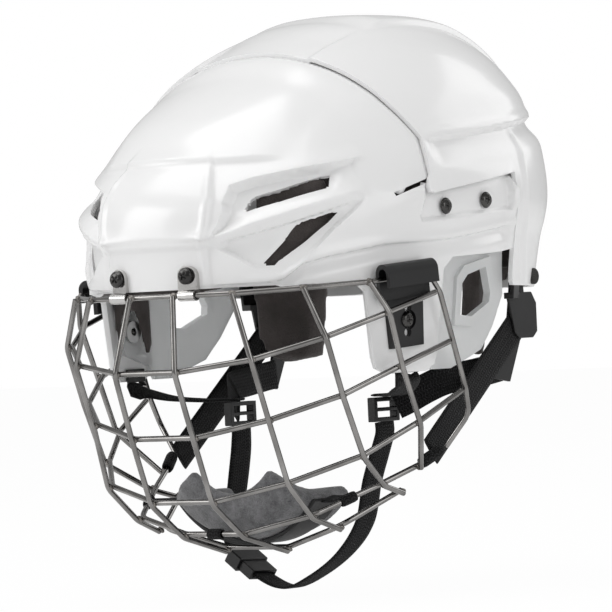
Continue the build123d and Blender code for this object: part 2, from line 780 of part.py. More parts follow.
# Webbing routes in shares of the half width, the half length and the crown height
CHIN_LOOP_SHARES = [
    (0.456, -0.043, -0.937), (0.456, -0.043, -0.995), (0.444, -0.065, -1.08), (0.428, -0.109, -1.222),
    (0.419, -0.159, -1.412), (0.335, -0.207, -1.557), (0.167, -0.221, -1.665), (0, -0.225, -1.719),
]
FRONT_LEG_SHARES = [
    (0.848, -0.304, -0.703), (0.848, -0.304, -0.735), (0.819, -0.268, -0.76), (0.726, -0.203, -0.792),
    (0.614, -0.13, -0.808), (0.53, -0.065, -0.812), (0.456, -0.043, -0.812),
]
REAR_LEG_SHARES = [
    (0.732, 0.464, -0.701), (0.732, 0.377, -0.715), (0.715, 0.261, -0.733), (0.688, 0.123, -0.751),
    (0.623, 0.065, -0.787), (0.549, 0.022, -0.833),
]


def yoke():
    """A plastic strap tab whose boss is riveted to the inside of the rear shell."""
    plate = Pos(yoke_side, 0, 0) * extrude(side_outline(YOKE_SHARES), yoke_sheet)
    boss = side_hole(rivet_place, rivet_head_radius, yoke_side) & dome(shell_gap / 2)
    return plate + boss - side_hole(rivet_place, rivet_radius + screw_clearance)


def strap_rivet():
    y = rivet_place[0] * half_length
    z = rivet_place[1] * crown_height
    outside = shell_side(y - rivet_head_radius, z, rear_wall + shell_gap) + web_gap / 4
    inside = yoke_side
    shank = side_hole(rivet_place, rivet_radius, inside) - side_hole(rivet_place, 2 * rivet_radius, outside)
    heads = []
    for start in (inside - rivet_head_height, outside):
        plane = Plane(origin=(start, y, z), z_dir=(1, 0, 0))
        heads.append(extrude(plane * Circle(rivet_head_radius), rivet_head_height))
    return shank + heads[0] + heads[1]


def slider():
    top = place(CHIN_LOOP_SHARES[0])
    frame = Box(slider_height, chin_web_width + 2 * slider_rim, slider_length)
    slot = Box(2 * slider_height, chin_web_width + web_gap, slider_length / 4)
    lift = slider_length / 5
    frame = frame - Pos(0, 0, lift) * slot - Pos(0, 0, -lift) * slot
    return Pos(top.X, top.Y, top.Z + slider_length / 2) * frame


def chin_loop():
    left = [place(row) for row in CHIN_LOOP_SHARES]
    right = [Vector(-point.X, point.Y, point.Z) for point in left[:-1]]
    return ribbon(right + left[::-1], (0, 1, 0), chin_web_width, web_sheet)


def front_leg():
    top = place(CHIN_LOOP_SHARES[0]).Z + slider_length + web_gap + web_sheet / 2
    lift = top - place(FRONT_LEG_SHARES[-1]).Z
    points = [place(row) for row in FRONT_LEG_SHARES]
    points = points[:2] + [point + Vector(0, 0, lift) for point in points[2:]]
    return ribbon(points, (0, 1, 0), chin_web_width, web_sheet)


def lobe_tab():
    return layer(front_level(), front_level() - yoke_sheet, side_block(LOBE_TAB_SHARES, 0))


def rear_leg():
    points = [place(row) for row in REAR_LEG_SHARES]
    flat = yoke_side - web_sheet / 2 - web_gap
    points[:2] = [Vector(flat, point.Y, point.Z) for point in points[:2]]
    return ribbon(points, (0, 0, 1), chin_web_width, web_sheet)


def buckle():
    """A buckle's two halves on the wearer's right of the chin strap, face to face on its straight run."""
    start, end = [place(row) for row in CHIN_LOOP_SHARES[5:7]]
    start = Vector(-start.X, start.Y, start.Z)
    end = Vector(-end.X, end.Y, end.Z)
    along = (end - start).normalized()
    plane = Plane(origin=(start + end) / 2, x_dir=along.cross(Vector(0, -1, 0)).cross(along), z_dir=along)
    slot = Box(chin_web_width + web_gap, web_sheet + 2 * web_gap, 2 * buckle_length)
    frame = Box(chin_web_width + 2 * slider_rim, buckle_height, buckle_length / 2)
    tongue = Box(chin_web_width + slider_rim, buckle_height * 0.75, buckle_length / 2)
    halves = []
    for block, side in ((frame, -1), (tongue, 1)):
        halves.append(plane * (Pos(0, 0, side * buckle_length / 4) * block - slot))
    return halves


save(front_shell(), "front_shell")
save(rear_shell(), "rear_shell")
clamp_screws, clamp_nuts = adjust_screws()
save(both_sides(Compound(children=clamp_screws)), "adjust_screws")
save(both_sides(Compound(children=clamp_nuts)), "adjust_t_nuts")
save_cage()
save(both_sides(front_brackets()), "front_brackets")
bracket_screw, bracket_nut = front_screws()
save(both_sides(bracket_screw), "bracket_screws")
save(both_sides(bracket_nut), "bracket_t_nuts")
save_pair(cage_clip(), "cage_clip")
clip_screw, clip_nut = clip_screws()
save(both_sides(clip_screw), "clip_screws")
save(both_sides(clip_nut), "clip_t_nuts")
save_pair(ear_guard(), "ear_guard")
save(forehead_pad(), "forehead_pad")
front_side = side_pad(FRONT_SIDE_SHARES, 0.45, front_level(), front_level() - pad_depth)
save_pair(front_side, "front_side_pad")
save_pair(temple_pad(), "temple_pad")
save(crown_pad(FRONT_CROWN_SHARES, front_level()), "front_crown_pad")
save(rear_crown_pad(), "rear_crown_pad")
save_pair(rear_side_pad(), "rear_side_pad")
save(nape_pad(), "nape_pad")
save(chin_pad(), "chin_pad")
save(carrier(), "chin_pad_carrier")
save_pair(cup_side_tab(), "chin_pad_side_tab")
save(cup_front_tab(), "chin_pad_front_tab")
save_pair(cage_strap(), "cage_strap")
save_pair(rear_clip(), "rear_clip")
save_pair(yoke(), "chin_strap_yoke")
save(both_sides(strap_rivet()), "chin_strap_rivets")
save_pair(slider(), "chin_strap_slider")
save(chin_loop(), "chin_strap")
save_pair(front_leg(), "chin_strap_front_leg")
save_pair(lobe_tab(), "chin_strap_lobe_tab")
save_pair(rear_leg(), "chin_strap_rear_leg")
buckle_frame, buckle_tongue = buckle()
save(buckle_frame, "buckle_frame")
save(buckle_tongue, "buckle_tongue")
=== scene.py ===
import math

import bmesh
import bpy
import numpy as np
from mathutils import Matrix, Vector


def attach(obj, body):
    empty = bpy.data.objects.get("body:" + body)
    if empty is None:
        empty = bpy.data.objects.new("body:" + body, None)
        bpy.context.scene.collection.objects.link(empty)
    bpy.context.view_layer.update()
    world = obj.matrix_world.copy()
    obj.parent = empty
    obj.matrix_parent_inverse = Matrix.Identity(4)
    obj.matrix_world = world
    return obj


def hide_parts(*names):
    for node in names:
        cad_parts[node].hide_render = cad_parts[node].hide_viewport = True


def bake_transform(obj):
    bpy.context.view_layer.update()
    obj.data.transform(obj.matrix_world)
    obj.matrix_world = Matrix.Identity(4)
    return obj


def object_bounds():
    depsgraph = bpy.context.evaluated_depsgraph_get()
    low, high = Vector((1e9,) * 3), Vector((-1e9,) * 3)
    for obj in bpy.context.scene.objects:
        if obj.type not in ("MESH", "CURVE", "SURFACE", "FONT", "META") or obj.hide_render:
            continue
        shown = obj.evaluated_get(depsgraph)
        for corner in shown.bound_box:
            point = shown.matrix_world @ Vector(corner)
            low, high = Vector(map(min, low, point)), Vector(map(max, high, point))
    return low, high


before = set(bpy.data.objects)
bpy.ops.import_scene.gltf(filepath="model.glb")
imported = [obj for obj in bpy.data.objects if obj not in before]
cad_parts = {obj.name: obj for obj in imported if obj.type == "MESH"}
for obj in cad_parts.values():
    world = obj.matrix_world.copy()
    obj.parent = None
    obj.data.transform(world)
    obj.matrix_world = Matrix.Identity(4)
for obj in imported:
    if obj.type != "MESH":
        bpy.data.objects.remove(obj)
cad_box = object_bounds()

# The photographer's place and lens, a long lens level with the middle of the helmet.
# The wearer looks along -Y and the wearer's left side is the near one.
camera_data = bpy.data.cameras.new("camera")
camera_data.lens = 279.4
camera_data.sensor_width = 36
camera = bpy.data.objects.new("camera", camera_data)
right = Vector((0.78713, 0.61497, -0.04723)).normalized()
up = Vector((0.03722, 0.02908, 0.99888)).normalized()
back = right.cross(up).normalized()
spin = Matrix((right, up, back)).transposed().to_4x4()
camera.matrix_world = Matrix.Translation((1.5769, -2.0245, -0.0402)) @ spin
bpy.context.scene.collection.objects.link(camera)
bpy.context.scene.camera = camera
bpy.context.scene.view_settings.view_transform = "Standard"


# The photographer's table and paper: a plain white sweep under the lowest strap, and large
# soft lamps above, to the left, to the right and behind, with an even white surround.
def add_node(tree, kind, inputs=None, operation=None, group=None):
    """A node with the values of its inputs, and its operation or the node group it shows."""
    made = tree.nodes.new(kind)
    if operation:
        made.operation = operation
    if group:
        made.node_tree = group
    for socket, value in (inputs or {}).items():
        made.inputs[socket].default_value = value
    return made


def join(tree, *links):
    """Links, each given as a node, its output, the next node and its input."""
    for start, leaving, end, entering in links:
        tree.links.new(start.outputs[leaving], end.inputs[entering])


def new_nodes(name):
    """A new material with its node tree and output."""
    made = bpy.data.materials.new(name)
    made.use_nodes = True
    made.node_tree.nodes.clear()
    return made, made.node_tree, add_node(made.node_tree, "ShaderNodeOutputMaterial")


def placed(name, data):
    """An object in the scene with this mesh, shaded smooth."""
    data.polygons.foreach_set("use_smooth", [True] * len(data.polygons))
    made = bpy.data.objects.new(name, data)
    bpy.context.scene.collection.objects.link(made)
    return made


def object_from(name, vertices, faces):
    """A mesh object in the scene from lists of vertices and faces."""
    data = bpy.data.meshes.new(name)
    data.from_pydata([tuple(v) for v in vertices], [], [tuple(f) for f in faces])
    data.update()
    return placed(name, data)


floor_height = cad_box[0][2] - 0.004
reach = 6.0
floor = object_from(
    "paper_sweep",
    [(-reach, -reach, floor_height), (reach, -reach, floor_height), (reach, reach, floor_height),
     (-reach, reach, floor_height)],
    [(0, 1, 2, 3)],
)
paper, tree, output = new_nodes("white_paper")
matt = add_node(tree, "ShaderNodeBsdfDiffuse", {"Color": (0.9, 0.9, 0.9, 1)})
bright = add_node(tree, "ShaderNodeEmission", {"Color": (1, 1, 1, 1)})
rays = add_node(tree, "ShaderNodeLightPath")
seen = add_node(tree, "ShaderNodeMath", operation="MAXIMUM")
straight = add_node(tree, "ShaderNodeMath", {1: 0.97}, "MULTIPLY")
share = add_node(tree, "ShaderNodeMath", {1: 0.42}, "MULTIPLY")
mixed = add_node(tree, "ShaderNodeMixShader")
join(
    tree,
    (rays, "Is Camera Ray", straight, 0),
    (rays, "Is Glossy Ray", share, 0),
    (straight, 0, seen, 0),
    (share, 0, seen, 1),
    (seen, 0, mixed, 0),
    (matt, 0, mixed, 1),
    (bright, 0, mixed, 2),
    (mixed, 0, output, "Surface"),
)
floor.data.materials.append(paper)

world = bpy.data.worlds.new("studio")
bpy.context.scene.world = world
world.use_nodes = True
tree = world.node_tree
tree.nodes.clear()
output = add_node(tree, "ShaderNodeOutputWorld")
surround = add_node(tree, "ShaderNodeBackground", {"Color": (1, 1, 1, 1)})
rays = add_node(tree, "ShaderNodeLightPath")
glossy = add_node(tree, "ShaderNodeMath", {1: -0.06, 2: 0.46}, "MULTIPLY_ADD")
whole = add_node(tree, "ShaderNodeMath", operation="MAXIMUM")
join(
    tree,
    (rays, "Is Glossy Ray", glossy, 0),
    (glossy, 0, whole, 0),
    (rays, "Is Camera Ray", whole, 1),
    (whole, 0, surround, "Strength"),
    (surround, 0, output, "Surface"),
)

for name, place, size, power in (
    ("top_lamp", (-0.3, -0.5, 1.6), 1.6, 16.0),
    ("left_lamp", (-1.3, -1.5, 0.6), 1.0, 9.0),
    ("right_lamp", (1.9, -0.3, 0.5), 1.2, 7.0),
    ("back_lamp", (0.5, 1.8, 0.9), 1.2, 6.0),
):
    lamp_data = bpy.data.lights.new(name, "AREA")
    lamp_data.size = size
    lamp_data.energy = power
    lamp = bpy.data.objects.new(name, lamp_data)
    lamp.location = place
    lamp.rotation_euler = (-Vector(place)).to_track_quat("-Z", "Y").to_euler()
    bpy.context.scene.collection.objects.link(lamp)


# The front half of the hard shell: injection moulded white plastic, glossy, with pressed
# creases, sunk vents and a recess for the size screws. It is 3 mm thick.
half_width = 0.1075
half_length = 0.138
crown_height = 0.1105
skirt_drop = 0.086
corner_fullness = 0.6
millimetre = 0.001
# Rows of the dome from the skirt up: height, half width and centre, as shares of the sizes above
LEVEL_SHARES = [
    (-1.0, 0.921, -0.029), (-0.50, 0.948, -0.018), (-0.28, 0.962, -0.008), (-0.08, 0.981, 0.004),
    (0.11, 1.0, 0.033), (0.32, 0.953, 0.087), (0.42, 0.915, 0.118), (0.52, 0.866, 0.150),
    (0.61, 0.813, 0.191), (0.69, 0.746, 0.222), (0.76, 0.678, 0.249), (0.83, 0.597, 0.270),
    (0.89, 0.510, 0.290), (0.945, 0.415, 0.306), (0.985, 0.29, 0.315),
    (1.003, 0.15, 0.318), (1.008, 0.0, 0.318),
]
# Outlines in the side view, as shares of half length and crown height, then in millimetres
SEAM_SHARES = [
    (-0.215, 0.24), (-0.192, 0.41), (-0.25, 0.58), (-0.283, 0.733), (-0.312, 0.842), (-0.312, 1.5),
]
FRONT_EDGE_SHARES = [
    (-1.6, -0.262), (-0.551, -0.262), (-0.513, -0.308), (-0.482, -0.62), (-0.468, -0.672),
    (-0.43, -0.697), (-0.232, -0.697), (-0.19, -0.67), (-0.174, -0.62), (-0.138, -0.217),
    (-0.087, -0.163), (0.261, -0.145), (0.42, -0.10), (0.42, 0.253), (-0.007, 0.268), (-0.19, 0.20),
]
UPPER_VENT = [
    (-120.0, 11.2), (-118.0, 15.8), (-114.5, 19.6), (-106.0, 22.6), (-85.5, 29.0), (-80.5, 29.4),
    (-83.0, 25.4), (-86.0, 21.3), (-107.5, 15.0), (-119.0, 10.8),
]
LOWER_VENT = [
    (-114.5, -17.1), (-107.5, -6.3), (-103.5, 0.8), (-99.5, 3.4), (-93.5, 5.4), (-86.0, 8.0), (-84.0, 7.4),
    (-87.5, 3.2), (-100.0, -8.0), (-108.0, -15.2), (-111.5, -19.0), (-113.5, -18.4),
]
# Lines of the front half's relief in the side view, y and z in millimetres
HOOD = [
    (-128.5, -4.0), (-126.5, 5.1), (-124.0, 14.6), (-119.0, 23.0), (-111.5, 26.4), (-96.5, 29.9),
    (-68.5, 34.5),
]
FIN_TOP = [(-69.5, 18.2), (-80.5, 16.4), (-101.0, 10.4), (-118.5, 3.6), (-128.5, -2.8)]
FIN_FOOT = [(-126.0, -4.8), (-121.5, -2.7), (-116.0, -0.6), (-103.0, 4.2), (-81.0, 11.9), (-69.5, 15.1)]
LOWER_RECESS_END = [
    (-70.0, 14.1), (-86.5, -0.8), (-100.5, -17.0), (-108.0, -23.5), (-118.0, -19.0), (-127.0, -9.0),
]
LONG_CREASE = [
    (-140.0, -27.4), (-125.5, -27.4), (-111.0, -27.0), (-107.5, -25.6), (-100.0, -18.1), (-89.5, -15.1),
    (-60.5, -10.1), (-17.5, -8.6), (37.0, -2.6), (75.0, 0.5),
]
BAND_RECESS = [
    (-37.5, 4.3), (-34.5, 11.0), (-32.5, 18.0), (-20.0, 40.0), (75.0, 40.0), (75.0, 26.0), (43.5, 24.0),
    (42.0, 6.4), (-36.5, 1.2),
]
BAND_END = [(45.3, -40.0), (45.3, 24.0)]
# The corner of the flat face over the brow: its height and how far it lies from the middle
FACE_CORNER = [
    (-40.0, 31.5), (-7.0, 32.0), (6.0, 34.2), (16.7, 34.6), (27.0, 31.6), (33.5, 28.6), (45.0, 22.0),
]


def side_points(shares):
    """An outline in the side view, in metres, from shares of the half length and crown height."""
    return np.array([(y * half_length, z * crown_height) for y, z in shares])


def rounded(points, radius, steps=4):
    """The outline with each corner rounded by about radius."""
    made = []
    for count, corner in enumerate(points):
        before = points[count - 1] - corner
        after = points[(count + 1) % len(points)] - corner
        cut = min(radius, np.linalg.norm(before) * 0.45, np.linalg.norm(after) * 0.45)
        start = corner + before / np.linalg.norm(before) * cut
        end = corner + after / np.linalg.norm(after) * cut
        for step in range(steps + 1):
            t = step / steps
            made.append(start * (1 - t) ** 2 + corner * 2 * t * (1 - t) + end * t * t)
    return np.array(made)


def edge_distance(spots, outline, closed=True):
    """The distance of each spot from an outline, and whether each spot is inside it."""
    best = np.full(len(spots), 1e9)
    inside = np.zeros(len(spots), bool)
    ends = np.roll(outline, -1, axis=0)
    last = len(outline) if closed else len(outline) - 1
    for a, b in zip(outline[:last], ends[:last]):
        line = b - a
        t = np.clip(((spots - a) @ line) / max(line @ line, 1e-12), 0, 1)
        best = np.minimum(best, np.linalg.norm(spots - a - t[:, None] * line, axis=1))
        crosses = (a[1] > spots[:, 1]) != (b[1] > spots[:, 1])
        rise = np.where(abs(line[1]) < 1e-12, 1e-12, line[1])
        inside ^= crosses & (spots[:, 0] < a[0] + (spots[:, 1] - a[1]) * line[0] / rise)
    return best, inside


def soft_step(values, low, high):
    """0 below low, 1 above high, and a smooth rise between them."""
    t = np.clip((values - low) / (high - low), 0, 1)
    return t * t * (3 - 2 * t)


def smooth_rows(shares, count):
    """Rows of height, width and centre between the levels, on a smooth line through them."""
    rows = np.array(shares)
    place = np.r_[0, np.cumsum(np.hypot(np.diff(rows[:, 0]), np.diff(rows[:, 1])))]
    slopes = np.gradient(rows, place, axis=0)
    wanted = np.linspace(0, place[-1], count)
    at = np.clip(np.searchsorted(place, wanted, side="right") - 1, 0, len(rows) - 2)
    gap = (place[at + 1] - place[at])[:, None]
    t = (wanted - place[at])[:, None] / gap
    return (
        (2 * t**3 - 3 * t**2 + 1) * rows[at]
        + (t**3 - 2 * t**2 + t) * gap * slopes[at]
        + (-2 * t**3 + 3 * t**2) * rows[at + 1]
        + (t**3 - t**2) * gap * slopes[at + 1]
    )


def half_dome(grow, around, rows):
    """Points on the wearer's left half of the dome, row by row from front to back."""
    angles = np.linspace(0, 1, around)
    points = []
    for height_share, width_share, centre_share in smooth_rows(LEVEL_SHARES, rows):
        height = height_share * (crown_height + grow) if height_share > 0 else height_share * skirt_drop
        width = max(width_share * half_width + grow * min(1, width_share * 4), 0)
        length = width * half_length / half_width
        quarter = angles * 2
        front = quarter <= 1
        t = np.where(front, quarter, 2 - quarter)
        rest = 1 - t
        out = 3 * rest * rest * t * corner_fullness + 3 * rest * t * t + t**3
        along = rest**3 + 3 * rest * rest * t + 3 * rest * t * t * corner_fullness
        y = centre_share * half_length + np.where(front, -1, 1) * along * length
        points.append(np.stack([out * width, y, np.full(around, height)], axis=1))
    return np.array(points)


def beside(line, gap):
    """A line of the side view moved sideways by gap, to the left of the way it runs."""
    rows = np.array(line, float)
    along = np.gradient(rows, axis=0)
    across = np.stack([-along[:, 1], along[:, 0]], axis=1)
    return rows + across / np.linalg.norm(across, axis=1)[:, None] * gap


def score(bm, line, closed=False):
    """Puts edges of the mesh on a line of the side view, so that relief along it is clean."""
    near = 3 * millimetre
    ends = np.roll(line, -1, axis=0)
    last = len(line) if closed else len(line) - 1
    for a, b in zip(line[:last], ends[:last]):
        faces = list(bm.faces)
        middles = np.array([face.calc_center_median()[:] for face in faces])[:, 1:]
        line = b - a
        if np.linalg.norm(line) < 1e-6:
            continue
        t = np.clip(((middles - a) @ line) / (line @ line), 0, 1)
        close = np.linalg.norm(middles - a - t[:, None] * line, axis=1) < near
        chosen = [face for face, good in zip(faces, close) if good]
        if not chosen:
            continue
        parts = set(chosen)
        for face in chosen:
            parts.update(face.edges)
            parts.update(face.verts)
        bmesh.ops.bisect_plane(
            bm, geom=list(parts), plane_co=(0, a[0], a[1]), plane_no=(0, line[1], -line[0]), dist=1e-6
        )


def cut_half(bm, outline):
    """Cuts the half shell along an outline of the side view and keeps what is inside it."""
    score(bm, outline, True)
    faces = list(bm.faces)
    middles = np.array([face.calc_center_median()[:] for face in faces])[:, 1:]
    inside = edge_distance(middles, outline)[1]
    gone = [face for face, held in zip(faces, inside) if not held]
    bmesh.ops.delete(bm, geom=gone, context="FACES")


def cut_hole(bm, outline):
    """Cuts a hole through the half shell along an outline of the side view, square to the skin."""
    near = 3 * millimetre
    through = 25 * millimetre
    plain = half_dome(0, 300, 200)
    widths = [
        np.interp(z, plain[:, 0, 2], [np.interp(y, row[:, 1], row[:, 0]) for row in plain])
        for y, z in outline
    ]
    spots = np.column_stack([widths, outline])
    middle = spots.mean(axis=0)
    first, second, out = np.linalg.svd(spots - middle)[2]
    axes = np.column_stack([first, second])
    flat = (spots - middle) @ axes
    for a, b in zip(flat, np.roll(flat, -1, axis=0)):
        line = b - a
        faces = list(bm.faces)
        away = np.array([face.calc_center_median()[:] for face in faces]) - middle
        seen = away @ axes
        t = np.clip(((seen - a) @ line) / (line @ line), 0, 1)
        close = np.linalg.norm(seen - a - t[:, None] * line, axis=1) < near
        close &= np.abs(away @ out) < through
        parts = set(face for face, good in zip(faces, close) if good)
        for face in list(parts):
            parts.update(face.edges)
            parts.update(face.verts)
        where = middle + axes @ a
        across = first * line[1] - second * line[0]
        bmesh.ops.bisect_plane(bm, geom=list(parts), plane_co=where, plane_no=across, dist=1e-6)
    faces = list(bm.faces)
    away = np.array([face.calc_center_median()[:] for face in faces]) - middle
    inside = edge_distance(away @ axes, flat)[1] & (np.abs(away @ out) < through)
    bmesh.ops.delete(bm, geom=[face for face, held in zip(faces, inside) if held], context="FACES")


def shell_half(name, grow, outline, holes, relief, thickness, around=230, rows=150, scored=()):
    """One moulded shell: a half dome with relief, cut to its outline, mirrored and thickened."""
    points = half_dome(grow, around, rows).reshape(-1, 3)
    bm = bmesh.new()
    vertices = [bm.verts.new(spot) for spot in points]
    for row in range(rows - 1):
        for step in range(around - 1):
            low = row * around + step
            square = (low, low + 1, low + around + 1, low + around)
            bm.faces.new([vertices[at] for at in square])
    bmesh.ops.remove_doubles(bm, verts=bm.verts, dist=1e-5)
    cut_half(bm, outline)
    for line, gap in scored:
        score(bm, beside(line, gap) * millimetre)
    for hole in holes:
        cut_hole(bm, hole)
    bmesh.ops.remove_doubles(bm, verts=bm.verts, dist=0.0001)
    bm.normal_update()
    if relief:
        flat = np.array([vertex.co[:] for vertex in bm.verts])
        lift = relief(flat)
        for vertex, height in zip(bm.verts, lift):
            way = vertex.normal.copy()
            if vertex.co.x < 1e-5:
                way.x = 0
            vertex.co += way.normalized() * height
    data = bpy.data.meshes.new(name)
    bm.to_mesh(data)
    bm.free()
    made = placed(name, data)
    twin = made.modifiers.new("twin", "MIRROR")
    twin.use_axis = (True, False, False)
    twin.merge_threshold = 1e-5
    wall = made.modifiers.new("wall", "SOLIDIFY")
    wall.thickness = thickness
    wall.offset = -1
    edge = made.modifiers.new("edge", "BEVEL")
    edge.width = thickness * 0.16
    edge.segments = 2
    edge.limit_method = "ANGLE"
    edge.angle_limit = math.radians(55)
    settle(made)
    return made


def settle(made):
    """Applies the modifiers, so that the mesh is the final one."""
    bpy.context.view_layer.update()
    evaluated = made.evaluated_get(bpy.context.evaluated_depsgraph_get())
    data = bpy.data.meshes.new_from_object(evaluated)
    made.modifiers.clear()
    made.data = data
    return made


upper_vent = rounded(np.array(UPPER_VENT) * millimetre, 2.2 * millimetre)
lower_vent = rounded(np.array(LOWER_VENT) * millimetre, 2.2 * millimetre)


def signed(spots, outline):
    """How deep each spot lies inside an outline, in millimetres, and less than nothing outside it."""
    distance, inside = edge_distance(spots, np.array(outline, float))
    return np.where(inside, distance, -distance)


def apart(spots, line):
    """How far each spot is from an open line."""
    return edge_distance(spots, np.array(line, float), closed=False)[0]


def height_over(spots, line):
    """How far each spot lies above a line that runs from front to back."""
    rows = np.array(line, float)
    return spots[:, 1] - np.interp(spots[:, 0], rows[:, 0], rows[:, 1])


# Heights and depths of the front half's relief, in millimetres
face_height = 1.9
corner_swell = 0.9
lip_height = 2.0
brow_step = 1.5
hood_shallow = 0.6
hood_deep = 4.4
hood_swell = 1.3
fin_height = 2.4
lower_shallow = 0.9
lower_deep = 3.0
vent_edge = 0.9
crease_depth = 3.9
crease_ease = 1.5
crease_swell = 0.9
panel_depth = 2.1
shoulder_height = 2.3
band_end_height = 2.0
seam_rise = 1.3


def front_relief(points):
    """How far each point of the front shell stands out of the plain dome."""
    x, y, z = points.T / millimetre
    spots = np.stack([y, z], axis=1)
    forward = 1 - soft_step(y, -52, -40)
    lift = np.zeros(len(points))
    # The flat face over the brow, its corners, and the lip across the forehead
    corner = np.interp(z, *np.array(FACE_CORNER).T)
    face = (1 - soft_step(x - corner, -0.8, 2.6)) * (1 - soft_step(z, 30, 46)) * (y < -60)
    lift += face_height * face
    lift += corner_swell * np.exp(-(((x - corner + 1.2) / 1.6) ** 2)) * (y < -60) * (1 - soft_step(z, 26, 36))
    lip = soft_step(z, 35.2, 36.6) * (1 - soft_step(z, 48, 88)) * (1 - soft_step(x, 44, 64))
    lift += lip_height * lip * (y < 0)
    lift -= brow_step * (1 - soft_step(x, 31, 40)) * (1 - soft_step(z, -8.2, -6.9)) * (y < -60)
    # The hooded recess round the upper vent, the fin under it, and the recess round the lower vent
    upper = signed(spots, HOOD + FIN_TOP)
    from_hood = apart(spots, HOOD)
    from_fin = apart(spots, FIN_TOP)
    part = from_fin / np.maximum(from_fin + from_hood, 1e-6)
    tail = 1 - soft_step(y, -88, -69)
    depth = hood_shallow + hood_deep * soft_step(part, 0.05, 0.95)
    lift -= depth * soft_step(upper, -0.3, 1.5) * (0.25 + 0.75 * tail) * forward
    above = (upper < 0) & (height_over(spots, HOOD) > 0)
    lift += hood_swell * np.exp(-((np.minimum(upper, 0) / 5.0) ** 2)) * forward * above
    fin = np.exp(-((from_fin / 3.4) ** 2)) * (1 - soft_step(y, -80, -64)) * soft_step(-y, 60, 80)
    lift += fin_height * fin
    lower = signed(spots, FIN_FOOT + LOWER_RECESS_END)
    from_foot = apart(spots, FIN_FOOT)
    sink = 1 - soft_step(from_foot, 4, 26)
    depth = lower_shallow + lower_deep * sink
    lift -= depth * soft_step(lower, -0.2, 1.0) * (0.3 + 0.7 * tail) * soft_step(-y, 66, 78)
    for outline in (upper_vent, lower_vent):
        distance = edge_distance(spots, outline / millimetre)[0]
        lift -= vent_edge * np.exp(-((distance / 1.6) ** 2))
    # The long crease along the foot of the shell, and the sunk panel round the size screws
    over = height_over(spots, LONG_CREASE)
    groove = (1 - soft_step(over, -0.9, 0.5)) * (1 - soft_step(-over, 2, 9))
    depth = crease_depth - crease_ease * soft_step(y, -55, -38)
    lift -= depth * groove * soft_step(x, 26, 42) * (1 - soft_step(y, 36, 44))
    lift += crease_swell * np.exp(-(((over - 2.0) / 2.2) ** 2)) * soft_step(x, 40, 60)
    panel = signed(spots, BAND_RECESS)
    lift -= panel_depth * soft_step(panel, -0.5, 1.4)
    shoulder = soft_step(y, -66, -38) * soft_step(z, 4, 13) * (1 - soft_step(z, 17.5, 19.5)) * (panel < 0)
    lift += shoulder_height * shoulder * (1 - soft_step(panel, -2.5, 0))
    # The band's end comes out level with the rear half
    level = soft_step(y, 36, 44) * (1 - soft_step(y, 45.0, 45.6))
    lift += band_end_height * level * (1 - soft_step(z, 20, 24)) * (panel < 0)
    # The edge rises a little to meet the rear half, and dips just before it
    seam = np.array(SEAM_SHARES) * (half_length, crown_height) / millimetre
    behind = y - np.interp(z, seam[:, 1], seam[:, 0])
    lift += (
        seam_rise * soft_step(behind, -26, -4) * (1 - soft_step(behind, -1.6, -0.2)) * (z > 24)
        * soft_step(z, 22, 30)
    )
    return lift * millimetre


def new_group(name, values, results):
    """A node group with its number inputs and their defaults, and its number outputs."""
    group = bpy.data.node_groups.new(name, "ShaderNodeTree")
    for label, default in values:
        socket = group.interface.new_socket(label, in_out="INPUT", socket_type="NodeSocketFloat")
        socket.default_value = default
    for label in results:
        group.interface.new_socket(label, in_out="OUTPUT", socket_type="NodeSocketFloat")
    return group, group.nodes.new("NodeGroupInput"), group.nodes.new("NodeGroupOutput")


def skin_group():
    """Moulded plastic's skin: faint large waves and a very fine grain, as roughness and height."""
    values = (("Grain Scale", 900.0), ("Wave Scale", 18.0), ("Low", 0.1), ("High", 0.2))
    group, enter, leave = new_group("moulded_skin", values, ("Roughness", "Height"))
    place = add_node(group, "ShaderNodeTexCoord")
    grain = add_node(group, "ShaderNodeTexNoise", {"Detail": 3})
    wave = add_node(group, "ShaderNodeTexNoise", {"Detail": 2})
    spread = add_node(group, "ShaderNodeMapRange")
    total = add_node(group, "ShaderNodeMath", {1: 0.25}, "MULTIPLY_ADD")
    join(
        group,
        (place, "Object", grain, "Vector"),
        (place, "Object", wave, "Vector"),
        (enter, "Grain Scale", grain, "Scale"),
        (enter, "Wave Scale", wave, "Scale"),
        (wave, "Fac", spread, "Value"),
        (enter, "Low", spread, "To Min"),
        (enter, "High", spread, "To Max"),
        (spread, "Result", leave, "Roughness"),
        (grain, "Fac", total, 0),
        (wave, "Fac", total, 2),
        (total, 0, leave, "Height"),
    )
    return group


moulded_skin = skin_group()


def bumped(tree, shader, output, relief, leaving, strength, depth):
    """Gives a shader a bump from a node's output, and leads the shader to the material's output."""
    bump = add_node(tree, "ShaderNodeBump", {"Strength": strength, "Distance": depth})
    join(
        tree,
        (relief, leaving, bump, "Height"),
        (bump, "Normal", shader, "Normal"),
        (shader, 0, output, "Surface"),
    )


def plastic(name, colour, low, high, bump, grain=900.0, wave=18.0):
    """A moulded plastic with the skin group's roughness and height."""
    made, tree, output = new_nodes(name)
    shader = add_node(tree, "ShaderNodeBsdfPrincipled", {"Base Color": (*colour, 1)})
    values = {"Grain Scale": grain, "Wave Scale": wave, "Low": low, "High": high}
    skin = add_node(tree, "ShaderNodeGroup", values, group=moulded_skin)
    join(tree, (skin, "Roughness", shader, "Roughness"))
    bumped(tree, shader, output, skin, "Height", bump, 0.0004)
    return made, shader


white_gloss, shader = plastic("white_gloss_shell", (0.865, 0.865, 0.865), 0.17, 0.26, 0.05, wave=9.0)
shader.inputs["Coat Weight"].default_value = 0.25
shader.inputs["Coat Roughness"].default_value = 0.09


def dress(made, material, *nodes):
    """Gives a piece its material and, where nodes are named, hides those CAD nodes."""
    made.data.materials.clear()
    made.data.materials.append(material)
    if nodes:
        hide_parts(*nodes)


